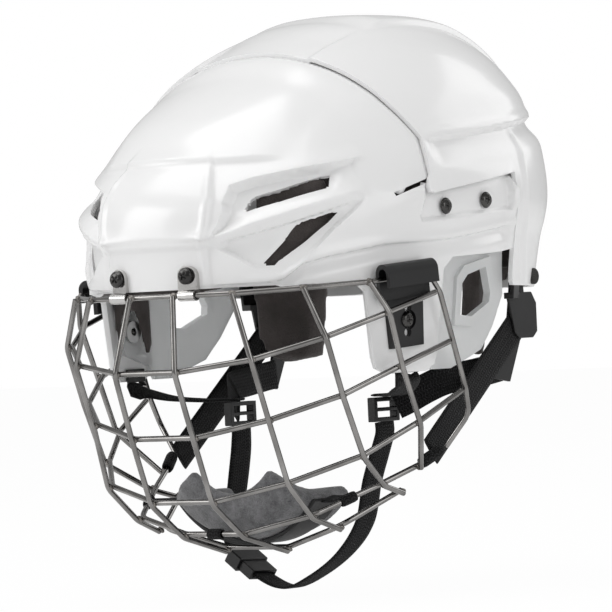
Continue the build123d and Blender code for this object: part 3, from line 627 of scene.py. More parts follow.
under_seam = [(y + 0.018, z) for y, z in SEAM_SHARES]
front_outline = rounded(side_points(FRONT_EDGE_SHARES + under_seam + [(-1.6, 1.5)]), 1.2 * millimetre, 2)
slot = np.array([(-53.4, 14.4), (-54.2, 16.2), (-32.5, 22.7), (-22.0, 26.0), (-22.0, 23.8), (-32.5, 20.6)])
vents = [upper_vent, lower_vent, slot * millimetre]
# Lines of the relief, and how far beside each the mesh gets an edge, in millimetres
front_lines = [
    (HOOD, 0.3), (HOOD, -1.5), (FIN_TOP, 0.0), (FIN_FOOT, 0.2), (FIN_FOOT, -1.0),
    (LOWER_RECESS_END, 0.2), (LOWER_RECESS_END, -1.0), (LONG_CREASE, 0.5), (LONG_CREASE, -0.9),
    (BAND_RECESS, 0.5), (BAND_RECESS, -1.4), (BAND_END, 0.3), (BAND_END, -0.3),
]
front = shell_half(
    "front_half_shell", 0, front_outline, vents, front_relief, 3 * millimetre, 300, 200, front_lines
)
dress(front, white_gloss, "front_shell")
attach(front, "front_half")

# The lip that the front half carries under the rear half's leading edge, so that no gap opens
# when the helmet is let out. The same white plastic, moulded in one with the front half. It runs
# from 1.5 mm in front of the seam to 22 mm behind it, as shares of the half length of 138 mm.
lip_strip = [(y - 1.5 / 138, z) for y, z in SEAM_SHARES]
lip_strip += [(y + 22 / 138, z) for y, z in reversed(SEAM_SHARES)]
lip = shell_half("seam_lip", -6 * millimetre, side_points(lip_strip), [], None, 2.5 * millimetre, 120, 90)
dress(lip, white_gloss)
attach(lip, "front_half")

# The rear half of the hard shell, the same white plastic, 2.5 mm thick. It laps outside the
# front half, with a raised middle panel, a ledge round its sides and back, and rear ridges.
REAR_EDGE_SHARES = [
    (1.6, 1.5), (1.6, -0.34), (0.345, -0.31), (0.33, -0.28), (0.333, 0.237), (0.07, 0.193), (-0.112, 0.162),
    (-0.226, 0.140), (-0.240, 0.160), (-0.236, 0.19),
]
SIDE_CREASE = [(-60.0, 40.0), (-22.0, 44.7), (10.5, 47.7), (87.5, 55.9), (125.0, 58.5), (160.0, 58.5)]
REAR_RIDGE_SHARES = [(0.50, 0.62), (0.42, 0.50), (0.385, 0.10), (0.40, -0.10), (0.46, -0.36)]
# Heights and depths of the rear half's relief, in millimetres
ledge_depth = 3.0
ledge_swell = 0.9
ridge_height = 1.9
crown_rise = 2.8
crown_dip = 1.6
back_flat = 1.6
screw_lip = 0.9


def rear_relief(points):
    """How far each point of the rear shell stands out of the plain dome."""
    x, y, z = points.T / millimetre
    spots = np.stack([y, z], axis=1)
    lift = np.zeros(len(points))
    # The ledge round the side and the back, and the ridge down each rear corner
    under = -height_over(spots, SIDE_CREASE)
    start = soft_step(y, -27, -16)
    lift -= ledge_depth * soft_step(under, -0.4, 1.5) * (1 - soft_step(under, 3, 17)) * start
    lift += ledge_swell * np.exp(-(((under + 2.5) / 2.5) ** 2)) * start
    ridge = np.array(REAR_RIDGE_SHARES)[::-1] * (half_length, crown_height) / millimetre
    edge = np.interp(z, ridge[:, 1], ridge[:, 0])
    side = soft_step(x, 50, 70)
    lift += ridge_height * soft_step(y - edge, -2, 3) * side * (1 - soft_step(z, 44, 56))
    # The raised middle of the crown, and the flatter foot of the back
    middle = 1 - soft_step(x, 38 + 0.05 * y, 41.5 + 0.05 * y)
    lift += crown_rise * middle * soft_step(y, 2, 22) * soft_step(z, 58, 62)
    lift -= crown_dip * middle * (1 - soft_step(y, -24, 4)) * soft_step(z, 58, 62) * soft_step(y, -60, -40)
    lift -= back_flat * (1 - soft_step(x, 40, 56)) * soft_step(y, 60, 80) * (1 - soft_step(z, 10, 22))
    # The lip over the size screws stands out
    lip = (
        soft_step(z, 10, 20) * (1 - soft_step(z, 25, 33)) * soft_step(y, -34, -20)
        * (1 - soft_step(y, 40, 47))
    )
    lift += screw_lip * lip
    return lift * millimetre


rear_outline = rounded(side_points(SEAM_SHARES + REAR_EDGE_SHARES), 1.5 * millimetre, 2)
rear_lines = [(SIDE_CREASE, 0.4), (SIDE_CREASE, -1.5)]
rear = shell_half(
    "rear_half_shell", 2.8 * millimetre, rear_outline, [], rear_relief, 2.5 * millimetre, 260, 180, rear_lines
)
dress(rear, white_gloss, "rear_shell")
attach(rear, "rear_half")

# The cage: round steel wire 3 mm thick, bent in plan and welded where the uprights cross the
# bars on the outside. The top bar runs on down both sides and closes the rear corners.
wire_radius = 0.0015
cage_half_width = 0.1095
cage_reach = 0.1415
cage_drop = 0.168
wire_bend = 0.012
TOP_BAR_SHARES = [
    (0.27, -0.943, -0.19), (0.44, -0.895, -0.19), (0.69, -0.735, -0.183), (0.894, -0.543, -0.174),
    (0.972, -0.262, -0.155), (0.985, -0.215, -0.215), (0.985, -0.085, -0.515), (0.965, -0.05, -0.6),
    (0.845, -0.075, -0.7),
]
BAR_SHARES = [
    [(0.18, -1.0, -0.424), (0.53, -0.898, -0.394), (0.785, -0.712, -0.336), (0.94, -0.49, -0.27),
     (0.985, -0.244, -0.215)],
    [(0.185, -0.915, -0.628), (0.53, -0.812, -0.582), (0.785, -0.63, -0.517), (0.925, -0.415, -0.436),
     (0.985, -0.17, -0.37)],
    [(0.185, -0.824, -0.83), (0.545, -0.733, -0.779), (0.785, -0.525, -0.707), (0.925, -0.323, -0.614),
     (0.985, -0.108, -0.525)],
    [(0.18, -0.65, -0.938), (0.53, -0.585, -0.886), (0.705, -0.33, -0.80), (0.785, -0.19, -0.752),
     (0.838, -0.1, -0.708)],
]
CHIN_BAR_SHARES = [(0.185, -0.40, -0.993), (0.55, -0.445, -0.927), (0.685, -0.2, -0.828)]
UPRIGHT_TOP_SHARES = [
    (0.13, -0.943, -0.19), (0.43, -0.895, -0.19), (0.69, -0.735, -0.183), (0.885, -0.543, -0.174),
]


def cage_point(shares, out=0.0):
    """A point of the cage, moved out square to the bars."""
    x, y, z = shares
    spot = Vector((x * cage_half_width, y * cage_reach, z * cage_drop))
    return spot + Vector((spot.x, spot.y, spot.z / 2)).normalized() * out


def bent(points, radius, steps=6):
    """The route with each corner bent to an arc."""
    made = [points[0]]
    for before, corner, after in zip(points, points[1:], points[2:]):
        back = (before - corner).normalized()
        on = (after - corner).normalized()
        angle = math.pi - back.angle(on)
        nearest = min((before - corner).length, (after - corner).length)
        cut = min(radius * math.tan(angle / 2), nearest * 0.45)
        start = corner + back * cut
        end = corner + on * cut
        for step in range(steps + 1):
            t = step / steps
            made.append(start * (1 - t) ** 2 + corner * (2 * t * (1 - t)) + end * t**2)
    return made + [points[-1]]


def round_bar(name, routes, radius):
    """Round wire along each route, in one mesh with closed ends."""
    line = bpy.data.curves.new(name, "CURVE")
    line.dimensions = "3D"
    line.bevel_depth = radius
    line.bevel_resolution = 3
    line.use_fill_caps = True
    for route in routes:
        spline = line.splines.new("POLY")
        spline.points.add(len(route) - 1)
        for point, spot in zip(spline.points, route):
            point.co = (*spot, 1)
    carrier = bpy.data.objects.new(name + "_line", line)
    bpy.context.scene.collection.objects.link(carrier)
    bpy.context.view_layer.update()
    data = bpy.data.meshes.new_from_object(carrier.evaluated_get(bpy.context.evaluated_depsgraph_get()))
    bpy.data.objects.remove(carrier)
    return placed(name, data)


def both_ways(spots):
    """The route mirrored to the wearer's right and joined on to the left one."""
    return [Vector((-spot.x, spot.y, spot.z)) for spot in reversed(spots)] + list(spots)


def drawn_metal_group():
    """Drawn or brushed metal: a fine grain and soft dull patches."""
    values = (("Scratch Scale", 400.0), ("Low", 0.2), ("High", 0.35))
    group, enter, leave = new_group("drawn_metal", values, ("Roughness", "Height", "Patches"))
    place = add_node(group, "ShaderNodeTexCoord")
    scratch = add_node(group, "ShaderNodeTexNoise")
    patch = add_node(group, "ShaderNodeTexNoise", {"Scale": 60})
    spread = add_node(group, "ShaderNodeMapRange")
    join(
        group,
        (place, "Object", scratch, "Vector"),
        (place, "Object", patch, "Vector"),
        (enter, "Scratch Scale", scratch, "Scale"),
        (patch, "Fac", spread, "Value"),
        (enter, "Low", spread, "To Min"),
        (enter, "High", spread, "To Max"),
        (spread, "Result", leave, "Roughness"),
        (scratch, "Fac", leave, "Height"),
        (patch, "Fac", leave, "Patches"),
    )
    return group


drawn_metal = drawn_metal_group()


def ramp(tree, low, dark, high, light):
    """A colour ramp from dark at the low value to light at the high one."""
    made = add_node(tree, "ShaderNodeValToRGB")
    for count, (place, colour) in enumerate(((low, dark), (high, light))):
        made.color_ramp.elements[count].position = place
        made.color_ramp.elements[count].color = (*colour, 1)
    return made


def metal(name, dull, bright, low, high, scratch=700.0, bump=0.08):
    """A bare metal whose colour and roughness vary in soft patches."""
    made, tree, output = new_nodes(name)
    shader = add_node(tree, "ShaderNodeBsdfPrincipled", {"Metallic": 1})
    values = {"Scratch Scale": scratch, "Low": low, "High": high}
    surface = add_node(tree, "ShaderNodeGroup", values, group=drawn_metal)
    colour = ramp(tree, 0.35, dull, 0.68, bright)
    join(
        tree,
        (surface, "Patches", colour, "Fac"),
        (colour, "Color", shader, "Base Color"),
        (surface, "Roughness", shader, "Roughness"),
    )
    bumped(tree, shader, output, surface, "Height", bump, 0.0003)
    return made


wire_steel = metal("wire_steel", (0.21, 0.204, 0.198), (0.33, 0.321, 0.312), 0.10, 0.20)
top_route = bent(both_ways([cage_point(row) for row in TOP_BAR_SHARES]), wire_bend)
top_bar = round_bar("top_bar", [top_route], wire_radius)
cage_wires = [(top_bar, "cage_top_bar")]
for count, row in enumerate(BAR_SHARES, start=1):
    bar_route = bent(both_ways([cage_point(spot) for spot in row]), wire_bend)
    bar = round_bar("cross_bar_%d" % count, [bar_route], wire_radius)
    cage_wires.append((bar, "cage_bar_%d" % count))
chin_route = bent(both_ways([cage_point(spot) for spot in CHIN_BAR_SHARES]), wire_bend)
cage_wires.append((round_bar("chin_bar", [chin_route], wire_radius), "cage_chin_bar"))
step_out = 2 * wire_radius - 0.00025
upright_routes = []
weld_spots = []
for column, top in enumerate(UPRIGHT_TOP_SHARES):
    rows = [top] + [row[column] for row in BAR_SHARES]
    if column < len(CHIN_BAR_SHARES):
        rows.append(CHIN_BAR_SHARES[column])
    for side in (1, -1):
        route = [cage_point(spot, step_out) for spot in rows]
        route = [Vector((side * spot.x, spot.y, spot.z)) for spot in route]
        upright_routes.append(bent(route, wire_bend))
        for spot in rows:
            middle = cage_point(spot, step_out * 0.5)
            weld_spots.append(Vector((side * middle.x, middle.y, middle.z)))
cage_wires.append((round_bar("uprights", upright_routes, wire_radius), "cage_uprights"))
for made, node in cage_wires:
    dress(made, wire_steel, node)
    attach(made, "cage")

# Resistance welds where the wires cross: the metal squeezes out in a small uneven collar
# between the two wires, a little darker than the wire from the heat.
weld_steel = metal("weld_steel", (0.17, 0.16, 0.15), (0.33, 0.31, 0.29), 0.3, 0.5, scratch=1500.0, bump=0.3)
vertices = []
faces = []
rings = 6
sides = 10
for count, spot in enumerate(weld_spots):
    out = Vector((spot.x, spot.y, spot.z / 2)).normalized()
    first = out.orthogonal().normalized()
    second = out.cross(first)
    base = len(vertices)
    for ring in range(rings + 1):
        polar = math.pi * ring / rings
        for side in range(sides):
            turn = 2 * math.pi * side / sides
            wobble = 1 + 0.10 * math.sin(3 * turn + count) + 0.06 * math.sin(5 * turn + 2 * count)
            radius = 0.0021 * math.sin(polar) * wobble
            around_wire = (first * math.cos(turn) + second * math.sin(turn)) * radius
            vertices.append(spot + out * 0.0014 * math.cos(polar) + around_wire)
    for ring in range(rings):
        for side in range(sides):
            low = base + ring * sides
            after = (side + 1) % sides
            faces.append((low + side, low + after, low + sides + after, low + sides + side))
welds = object_from("welds", vertices, faces)
bm = bmesh.new()
bm.from_mesh(welds.data)
bmesh.ops.remove_doubles(bm, verts=bm.verts, dist=1e-6)
bm.to_mesh(welds.data)
bm.free()
dress(welds, weld_steel)
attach(welds, "cage")


# Screws: black oxide pan heads with a cross recess. Four clamp the size adjustment, two hold
# the folded strips and two hold the hooks.
def solids_of(node):
    """The lowest and highest corners of each separate solid of a CAD node."""
    bm = bmesh.new()
    bm.from_mesh(bpy.data.objects[node].data)
    bmesh.ops.remove_doubles(bm, verts=bm.verts, dist=1e-6)
    left = set(bm.verts)
    found = []
    while left:
        group = [left.pop()]
        for vertex in group:
            for edge in vertex.link_edges:
                other = edge.other_vert(vertex)
                if other in left:
                    left.remove(other)
                    group.append(other)
        spots = np.array([vertex.co[:] for vertex in group])
        found.append((spots.min(axis=0), spots.max(axis=0)))
    bm.free()
    return found


def pan_screw(name, seat, way, head_radius, head_height, length, shank_radius, turn):
    """A pan head screw, its head's underside at seat and its shank running against way."""
    rows = []
    for ring in range(14):
        out = ring / 14
        crown = 1 - 0.28 * out**2 - 0.42 * max(out - 0.72, 0) / 0.28
        rows.append((out * head_radius, crown * head_height, True))
    rows += [(head_radius, head_height * 0.18, False), (head_radius * 0.99, 0.0, False)]
    rows += [(shank_radius, 0.0, False)]
    thread_pitch = 0.0007
    turns = int(length / thread_pitch)
    for count in range(1, turns):
        depth = shank_radius * (0.86 if count % 2 else 1.0)
        rows.append((depth, -length * count / turns, False))
    rows.append((shank_radius * 0.6, -length, False))
    sides = 48
    recess_inner = 0.00042
    recess_outer = 0.00062
    recess_reach = head_radius * 0.5
    vertices = []
    for radius, height, top in rows:
        for side in range(sides):
            angle = 2 * math.pi * side / sides
            x, y = radius * math.cos(angle + turn), radius * math.sin(angle + turn)
            a, b = radius * math.cos(angle), radius * math.sin(angle)
            drop = 0.0
            if top:
                slots = [
                    1 - soft_step(np.array(abs(one)), recess_inner, recess_outer)
                    for one, other in ((a, b), (b, a))
                    if abs(other) < recess_reach
                ]
                drop = float(max(slots, default=0)) * head_height * 0.62
            vertices.append(Vector((x, y, height - drop)))
    faces = []
    for row in range(len(rows) - 1):
        for side in range(sides):
            a = row * sides + side
            b = row * sides + (side + 1) % sides
            faces.append((a, a + sides, b + sides, b))
    faces.append(tuple(range((len(rows) - 1) * sides, len(rows) * sides))[::-1])
    spin = way.to_track_quat("Z", "Y").to_matrix()
    vertices = [spin @ spot + seat for spot in vertices]
    made = object_from(name, vertices, faces)
    bm = bmesh.new()
    bm.from_mesh(made.data)
    bmesh.ops.remove_doubles(bm, verts=bm.verts, dist=1e-7)
    bmesh.ops.recalc_face_normals(bm, faces=bm.faces)
    bm.to_mesh(made.data)
    bm.free()
    return made


screw_black = metal(
    "screw_black", (0.045, 0.044, 0.043), (0.11, 0.108, 0.105), 0.08, 0.17, scratch=1800.0, bump=0.12
)
head_radius = 0.0044
head_height = 0.0022
shank_radius = 0.00195
number = 0
for node, body, along in (
    ("adjust_screws", "front_half", 0),
    ("bracket_screws", "front_half", 1),
    ("clip_screws", "front_half", 0),
):
    made_here = []
    for low, high in solids_of(node):
        middle = Vector((low + high) / 2)
        way = Vector((0, 0, 0))
        way[along] = 1.0 if middle[along] > 0 else -1.0
        seat = middle.copy()
        outer = high[along] if way[along] > 0 else low[along]
        seat[along] = outer - way[along] * head_height
        length = float(high[along] - low[along]) - head_height
        piece = "%s_%d" % (node, number)
        turn = 0.5 + 1.3 * number
        made = pan_screw(piece, seat, way, head_radius, head_height, length, shank_radius, turn)
        dress(made, screw_black)
        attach(made, body)
        made_here.append(made)
        number += 1
    for made in made_here:
        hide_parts(node)


# T-nuts: zinc plated pressed steel, one behind each screw, with the flange against the inner
# side of what the screw clamps.
zinc = metal("zinc_plate", (0.46, 0.46, 0.47), (0.66, 0.66, 0.64), 0.3, 0.5, scratch=300.0, bump=0.2)


def softened(name, node, body, material, width, segments=2, angle=28):
    """A copy of a CAD node with its edges rounded, as a moulded or pressed piece has them."""
    bm = bmesh.new()
    bm.from_mesh(bpy.data.objects[node].data)
    bmesh.ops.remove_doubles(bm, verts=bm.verts, dist=2e-6)
    bmesh.ops.dissolve_degenerate(bm, edges=bm.edges, dist=1e-6)
    bmesh.ops.dissolve_limit(
        bm, angle_limit=math.radians(1.5), verts=bm.verts, edges=bm.edges, use_dissolve_boundaries=False
    )
    data = bpy.data.meshes.new(name)
    bm.to_mesh(data)
    bm.free()
    made = placed(name, data)
    edge = made.modifiers.new("edge", "BEVEL")
    edge.width = width
    edge.segments = segments
    edge.limit_method = "ANGLE"
    edge.angle_limit = math.radians(angle)
    edge.harden_normals = True
    even = made.modifiers.new("even", "WEIGHTED_NORMAL")
    even.keep_sharp = True
    settle(made)
    dress(made, material, node)
    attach(made, body)
    return made


for node in ("adjust_t_nuts", "bracket_t_nuts", "clip_t_nuts"):
    softened(node + "_plated", node, "front_half", zinc, 0.0002, 2)


# The two strips that hold the top bar: stainless spring steel 1.1 mm thick, polished, folded
# round the bar with both ends under one screw.
strip_steel = metal(
    "strip_steel", (0.55, 0.54, 0.53), (0.74, 0.73, 0.71), 0.12, 0.22, scratch=500.0, bump=0.05
)
softened("folded_strips", "front_brackets", "front_half", strip_steel, 0.0003, 2)


# The hooks that the top bar rests in: moulded black nylon with a plate of three height holes,
# screwed to the lobe in front of each ear. The same nylon makes the strap fittings.
nylon = plastic("black_nylon", (0.007, 0.007, 0.0075), 0.36, 0.52, 0.3, grain=1500.0, wave=60.0)[0]
for side in ("left", "right"):
    softened("hook_" + side, "cage_clip_" + side, "front_half", nylon, 0.0006, 3)
    softened("snap_clip_" + side, "rear_clip_" + side, "rear_half", nylon, 0.0004, 2)
    softened("yoke_" + side, "chin_strap_yoke_" + side, "rear_half", nylon, 0.0004, 2)
    softened("slider_" + side, "chin_strap_slider_" + side, "front_half", nylon, 0.0005, 2)
    lobe_tab = "chin_strap_lobe_tab_" + side
    softened("lobe_tab_" + side, lobe_tab, "front_half", nylon, 0.0004, 2)
softened("buckle_frame_nylon", "buckle_frame", "front_half", nylon, 0.0012, 3)
softened("buckle_tongue_nylon", "buckle_tongue", "front_half", nylon, 0.0012, 3)
softened("cup_carrier", "chin_pad_carrier", "cage", nylon, 0.0004, 2)
softened("yoke_rivets", "chin_strap_rivets", "rear_half", screw_black, 0.0004, 3)


# The ear guards: moulded clear plastic with a frosted face, screwed inside each lobe, with a
# raised rim round the opening over the ear.
frosted, shader = plastic("frosted_clear", (0.93, 0.94, 0.94), 0.30, 0.42, 0.12, grain=2200.0, wave=40.0)
shader.inputs["Transmission Weight"].default_value = 0.5
shader.inputs["IOR"].default_value = 1.46
for side in ("left", "right"):
    softened("ear_guard_clear_" + side, "ear_guard_" + side, "front_half", frosted, 0.0006, 3)


# The liner: pads of closed cell foam, pressed in a mould so that their edges round over and
# their faces swell a little, glued into the shell. Each has a fine cell texture.
foam_dark = (0.050, 0.043, 0.041)
foam_light = (0.098, 0.086, 0.082)


def foam_stuff(name, dark, light):
    """Closed cell foam: a skin of tiny round cells over soft clouds of colour."""
    made, tree, output = new_nodes(name)
    sheen = {"Specular IOR Level": 0.25, "Sheen Weight": 0.15}
    shader = add_node(tree, "ShaderNodeBsdfPrincipled", sheen)
    place = add_node(tree, "ShaderNodeTexCoord")
    cells = add_node(tree, "ShaderNodeTexVoronoi", {"Scale": 1100})
    clouds = add_node(tree, "ShaderNodeTexNoise", {"Scale": 45, "Detail": 6})
    colour = ramp(tree, 0.33, dark, 0.68, light)
    rough = add_node(tree, "ShaderNodeMapRange", {"To Min": 0.72, "To Max": 0.92})
    join(
        tree,
        (place, "Object", cells, "Vector"),
        (place, "Object", clouds, "Vector"),
        (clouds, "Fac", colour, "Fac"),
        (clouds, "Fac", rough, "Value"),
        (colour, "Color", shader, "Base Color"),
        (rough, "Result", shader, "Roughness"),
    )
    bumped(tree, shader, output, cells, "Distance", 0.45, 0.0005)
    return made


def moulded_pad(name, node, body, material, voxel, rounds, swell):
    """A CAD pad with its edges rounded over and its faces swollen a little, but no further than swell."""
    data = bpy.data.objects[node].data.copy()
    made = bpy.data.objects.new(name, data)
    bpy.context.scene.collection.objects.link(made)
    fine = made.modifiers.new("fine", "REMESH")
    fine.mode = "VOXEL"
    fine.voxel_size = voxel
    ease = made.modifiers.new("ease", "SMOOTH")
    ease.factor = 0.5
    ease.iterations = rounds
    settle(made)
    bm = bmesh.new()
    bm.from_mesh(made.data)
    bm.normal_update()
    for vertex in bm.verts:
        vertex.co += vertex.normal * swell
    bm.to_mesh(made.data)
    bm.free()
    made.data.polygons.foreach_set("use_smooth", [True] * len(made.data.polygons))
    dress(made, material, node)
    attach(made, body)
    return made


liner_foam = foam_stuff("liner_foam", foam_dark, foam_light)
pad_voxel = 0.0022
pads = [("forehead", "forehead_pad", "front_half"), ("front_crown", "front_crown_pad", "front_half")]
pads += [("rear_crown", "rear_crown_pad", "rear_half"), ("nape", "nape_pad", "rear_half")]
for side in ("left", "right"):
    pads.append(("front_side_" + side, "front_side_pad_" + side, "front_half"))
    pads.append(("temple_" + side, "temple_pad_" + side, "front_half"))
    pads.append(("rear_side_" + side, "rear_side_pad_" + side, "rear_half"))
for name, node, body in pads:
    moulded_pad(name + "_cushion", node, body, liner_foam, pad_voxel, 6, 0.0003)


# The chin cup: a moulded foam cushion faced with thick grey wool felt, hung in the cage on a
# black carrier by three webbing tabs.
def felt_stuff(name, dark, light):
    """Needle felt: crossing fibres in two greys, matt, with a soft raised nap."""
    made, tree, output = new_nodes(name)
    sheen = {"Specular IOR Level": 0.1, "Sheen Weight": 0.5, "Sheen Roughness": 0.6}
    shader = add_node(tree, "ShaderNodeBsdfPrincipled", sheen)
    place = add_node(tree, "ShaderNodeTexCoord")
    fibres = add_node(tree, "ShaderNodeTexNoise", {"Scale": 900, "Detail": 5, "Distortion": 1.5})
    lumps = add_node(tree, "ShaderNodeTexNoise", {"Scale": 170, "Detail": 4})
    both = add_node(tree, "ShaderNodeMath", {1: 0.5}, "MULTIPLY_ADD")
    half = add_node(tree, "ShaderNodeMath", {1: 0.5}, "MULTIPLY")
    colour = ramp(tree, 0.36, dark, 0.64, light)
    rough = add_node(tree, "ShaderNodeMapRange", {"To Min": 0.85, "To Max": 1.0})
    join(
        tree,
        (place, "Object", fibres, "Vector"),
        (place, "Object", lumps, "Vector"),
        (lumps, "Fac", half, 0),
        (fibres, "Fac", both, 0),
        (half, 0, both, 2),
        (both, 0, colour, "Fac"),
        (lumps, "Fac", rough, "Value"),
        (colour, "Color", shader, "Base Color"),
        (rough, "Result", shader, "Roughness"),
    )
    bumped(tree, shader, output, both, 0, 0.9, 0.0009)
    return made


grey_felt = felt_stuff("grey_felt", (0.060, 0.060, 0.064), (0.215, 0.215, 0.222))
moulded_pad("chin_cushion", "chin_pad", "cage", grey_felt, 0.0016, 10, 0.0009)


# Webbing: woven black polyester tape 16 to 17 mm wide and 1.6 mm thick, with a rounded edge.
# The chin strap, its legs and the cage's straps are cut from it.
def weave_group():
    """A tape's weave from its own length and width: rows of slanting picks, with worn high spots."""
    values = (("Picks", 900.0), ("Ribs", 700.0))
    group, enter, leave = new_group("tape_weave", values, ("Height", "Wear"))
    place = group.nodes.new("ShaderNodeUVMap")
    place.uv_map = "tape"
    parts = group.nodes.new("ShaderNodeSeparateXYZ")
    group.links.new(place.outputs["UV"], parts.inputs[0])

    def sum_of(kind, first, second):
        """One Math node on two values or sockets."""
        node = group.nodes.new("ShaderNodeMath")
        node.operation = kind
        for socket, value in zip(node.inputs, (first, second)):
            if isinstance(value, (int, float)):
                socket.default_value = value
            elif value is not None:
                group.links.new(value, socket)
        return node.outputs[0]

    along = sum_of("MULTIPLY", parts.outputs["X"], enter.outputs["Picks"])
    across = sum_of("MULTIPLY", parts.outputs["Y"], enter.outputs["Ribs"])
    fold = sum_of("ABSOLUTE", sum_of("SINE", sum_of("MULTIPLY", across, 0.5), None), None)
    slant = sum_of("ADD", along, sum_of("MULTIPLY", fold, 2.0))
    picks = sum_of("ABSOLUTE", sum_of("SINE", slant, None), None)
    ribs = sum_of("ABSOLUTE", sum_of("SINE", across, None), None)
    height = sum_of("MULTIPLY", picks, sum_of("ADD", sum_of("MULTIPLY", ribs, 0.6), 0.4))
    fuzz = add_node(group, "ShaderNodeTexNoise", {"Scale": 1400})
    nap = sum_of("MULTIPLY", fuzz.outputs["Fac"], 0.3)
    group.links.new(sum_of("ADD", height, nap), leave.inputs["Height"])
    patches = add_node(group, "ShaderNodeTexNoise", {"Scale": 70})
    group.links.new(sum_of("MULTIPLY", height, patches.outputs["Fac"]), leave.inputs["Wear"])
    return group


tape_weave = weave_group()


def tape_stuff(name, dark, light, picks, ribs):
    """Woven black polyester: matt in its hollows, paler and smoother on worn high spots."""
    made, tree, output = new_nodes(name)
    sheen = {"Specular IOR Level": 0.2, "Sheen Weight": 0.05}
    shader = add_node(tree, "ShaderNodeBsdfPrincipled", sheen)
    weave = add_node(tree, "ShaderNodeGroup", {"Picks": picks, "Ribs": ribs}, group=tape_weave)
    colour = ramp(tree, 0.05, dark, 0.5, light)
    rough = add_node(tree, "ShaderNodeMapRange", {"To Min": 0.85, "To Max": 0.6})
    join(
        tree,
        (weave, "Wear", colour, "Fac"),
        (weave, "Wear", rough, "Value"),
        (colour, "Color", shader, "Base Color"),
        (rough, "Result", shader, "Roughness"),
    )
    bumped(tree, shader, output, weave, "Height", 0.8, 0.0005)
    return made


black_tape = tape_stuff("black_tape", (0.0015, 0.0015, 0.0016), (0.022, 0.022, 0.023), 1900.0, 1750.0)


def smooth_route(points, step=0.002):
    """A smooth line through the points, in even short steps."""
    spots = [2 * points[0] - points[1], *points, 2 * points[-1] - points[-2]]
    made = []
    for a, b, c, d in zip(spots, spots[1:], spots[2:], spots[3:]):
        count = max(2, int((c - b).length / step))
        for index in range(count):
            t = index / count
            square = (2 * a - 5 * b + 4 * c - d) * t**2
            cube = (3 * b - a - 3 * c + d) * t**3
            made.append(0.5 * (2 * b + (c - a) * t + square + cube))
    return made + [points[-1]]


def tape(name, route, across, width, thickness):
    """Woven tape along a route. across is the direction of its width at the start and the end."""
    columns = 8
    edge_share = [-0.5 + column / (columns - 1) for column in range(columns)]
    section = [(share, 0.5 * (1 - 0.55 * (abs(share) * 2) ** 8)) for share in edge_share]
    section += [(share, -half) for share, half in reversed(section)]
    vertices = []
    lengths = [0.0]
    for count, spot in enumerate(route):
        before = route[max(count - 1, 0)]
        after = route[min(count + 1, len(route) - 1)]
        along = (after - before).normalized()
        part = count / (len(route) - 1)
        way = Vector(across[0]).lerp(Vector(across[-1]), part)
        way = (way - along * way.dot(along)).normalized()
        face = along.cross(way)
        if count:
            lengths.append(lengths[-1] + (spot - route[count - 1]).length)
        vertices += [spot + way * (share * width) + face * (half * thickness) for share, half in section]
    size = len(section)
    faces = []
    places = []
    for count in range(len(route) - 1):
        for index in range(size):
            following = (index + 1) % size
            low = count * size
            faces.append((low + index, low + following, low + size + following, low + size + index))
            near, far = lengths[count], lengths[count + 1]
            first, second = section[index][0] * width, section[following][0] * width
            places.append(((near, first), (near, second), (far, second), (far, first)))
    faces.append(tuple(range(size))[::-1])
    places.append(tuple((0.0, section[index][0] * width) for index in range(size))[::-1])
    last = (len(route) - 1) * size
    faces.append(tuple(range(last, last + size)))
    places.append(tuple((lengths[-1], section[index][0] * width) for index in range(size)))
    made = object_from(name, vertices, faces)
    layer = made.data.uv_layers.new(name="tape")
    flat = [value for face in places for corner in face for value in corner]
    layer.data.foreach_set("uv", flat)
    return made


def share_place(row):
    """A place in the shell's own shares: half width, half length and crown height."""
    x, y, z = row
    return Vector((x * half_width, y * half_length, z * crown_height))


CHIN_LOOP_SHARES = [
    (0.456, -0.043, -0.937), (0.456, -0.043, -0.995), (0.444, -0.065, -1.08), (0.428, -0.109, -1.222),
    (0.419, -0.159, -1.412), (0.335, -0.207, -1.557), (0.167, -0.221, -1.665), (0, -0.225, -1.719),
]
tape_width = 0.016
tape_thickness = 0.0016
left = [share_place(row) for row in CHIN_LOOP_SHARES]
right = [Vector((-spot.x, spot.y, spot.z)) for spot in left[:-1]]
chin_route = smooth_route(right + left[::-1])
chin_strap = tape("chin_strap_tape", chin_route, [(0, 1, 0)], tape_width, tape_thickness)
dress(chin_strap, black_tape, "chin_strap")
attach(chin_strap, "front_half")
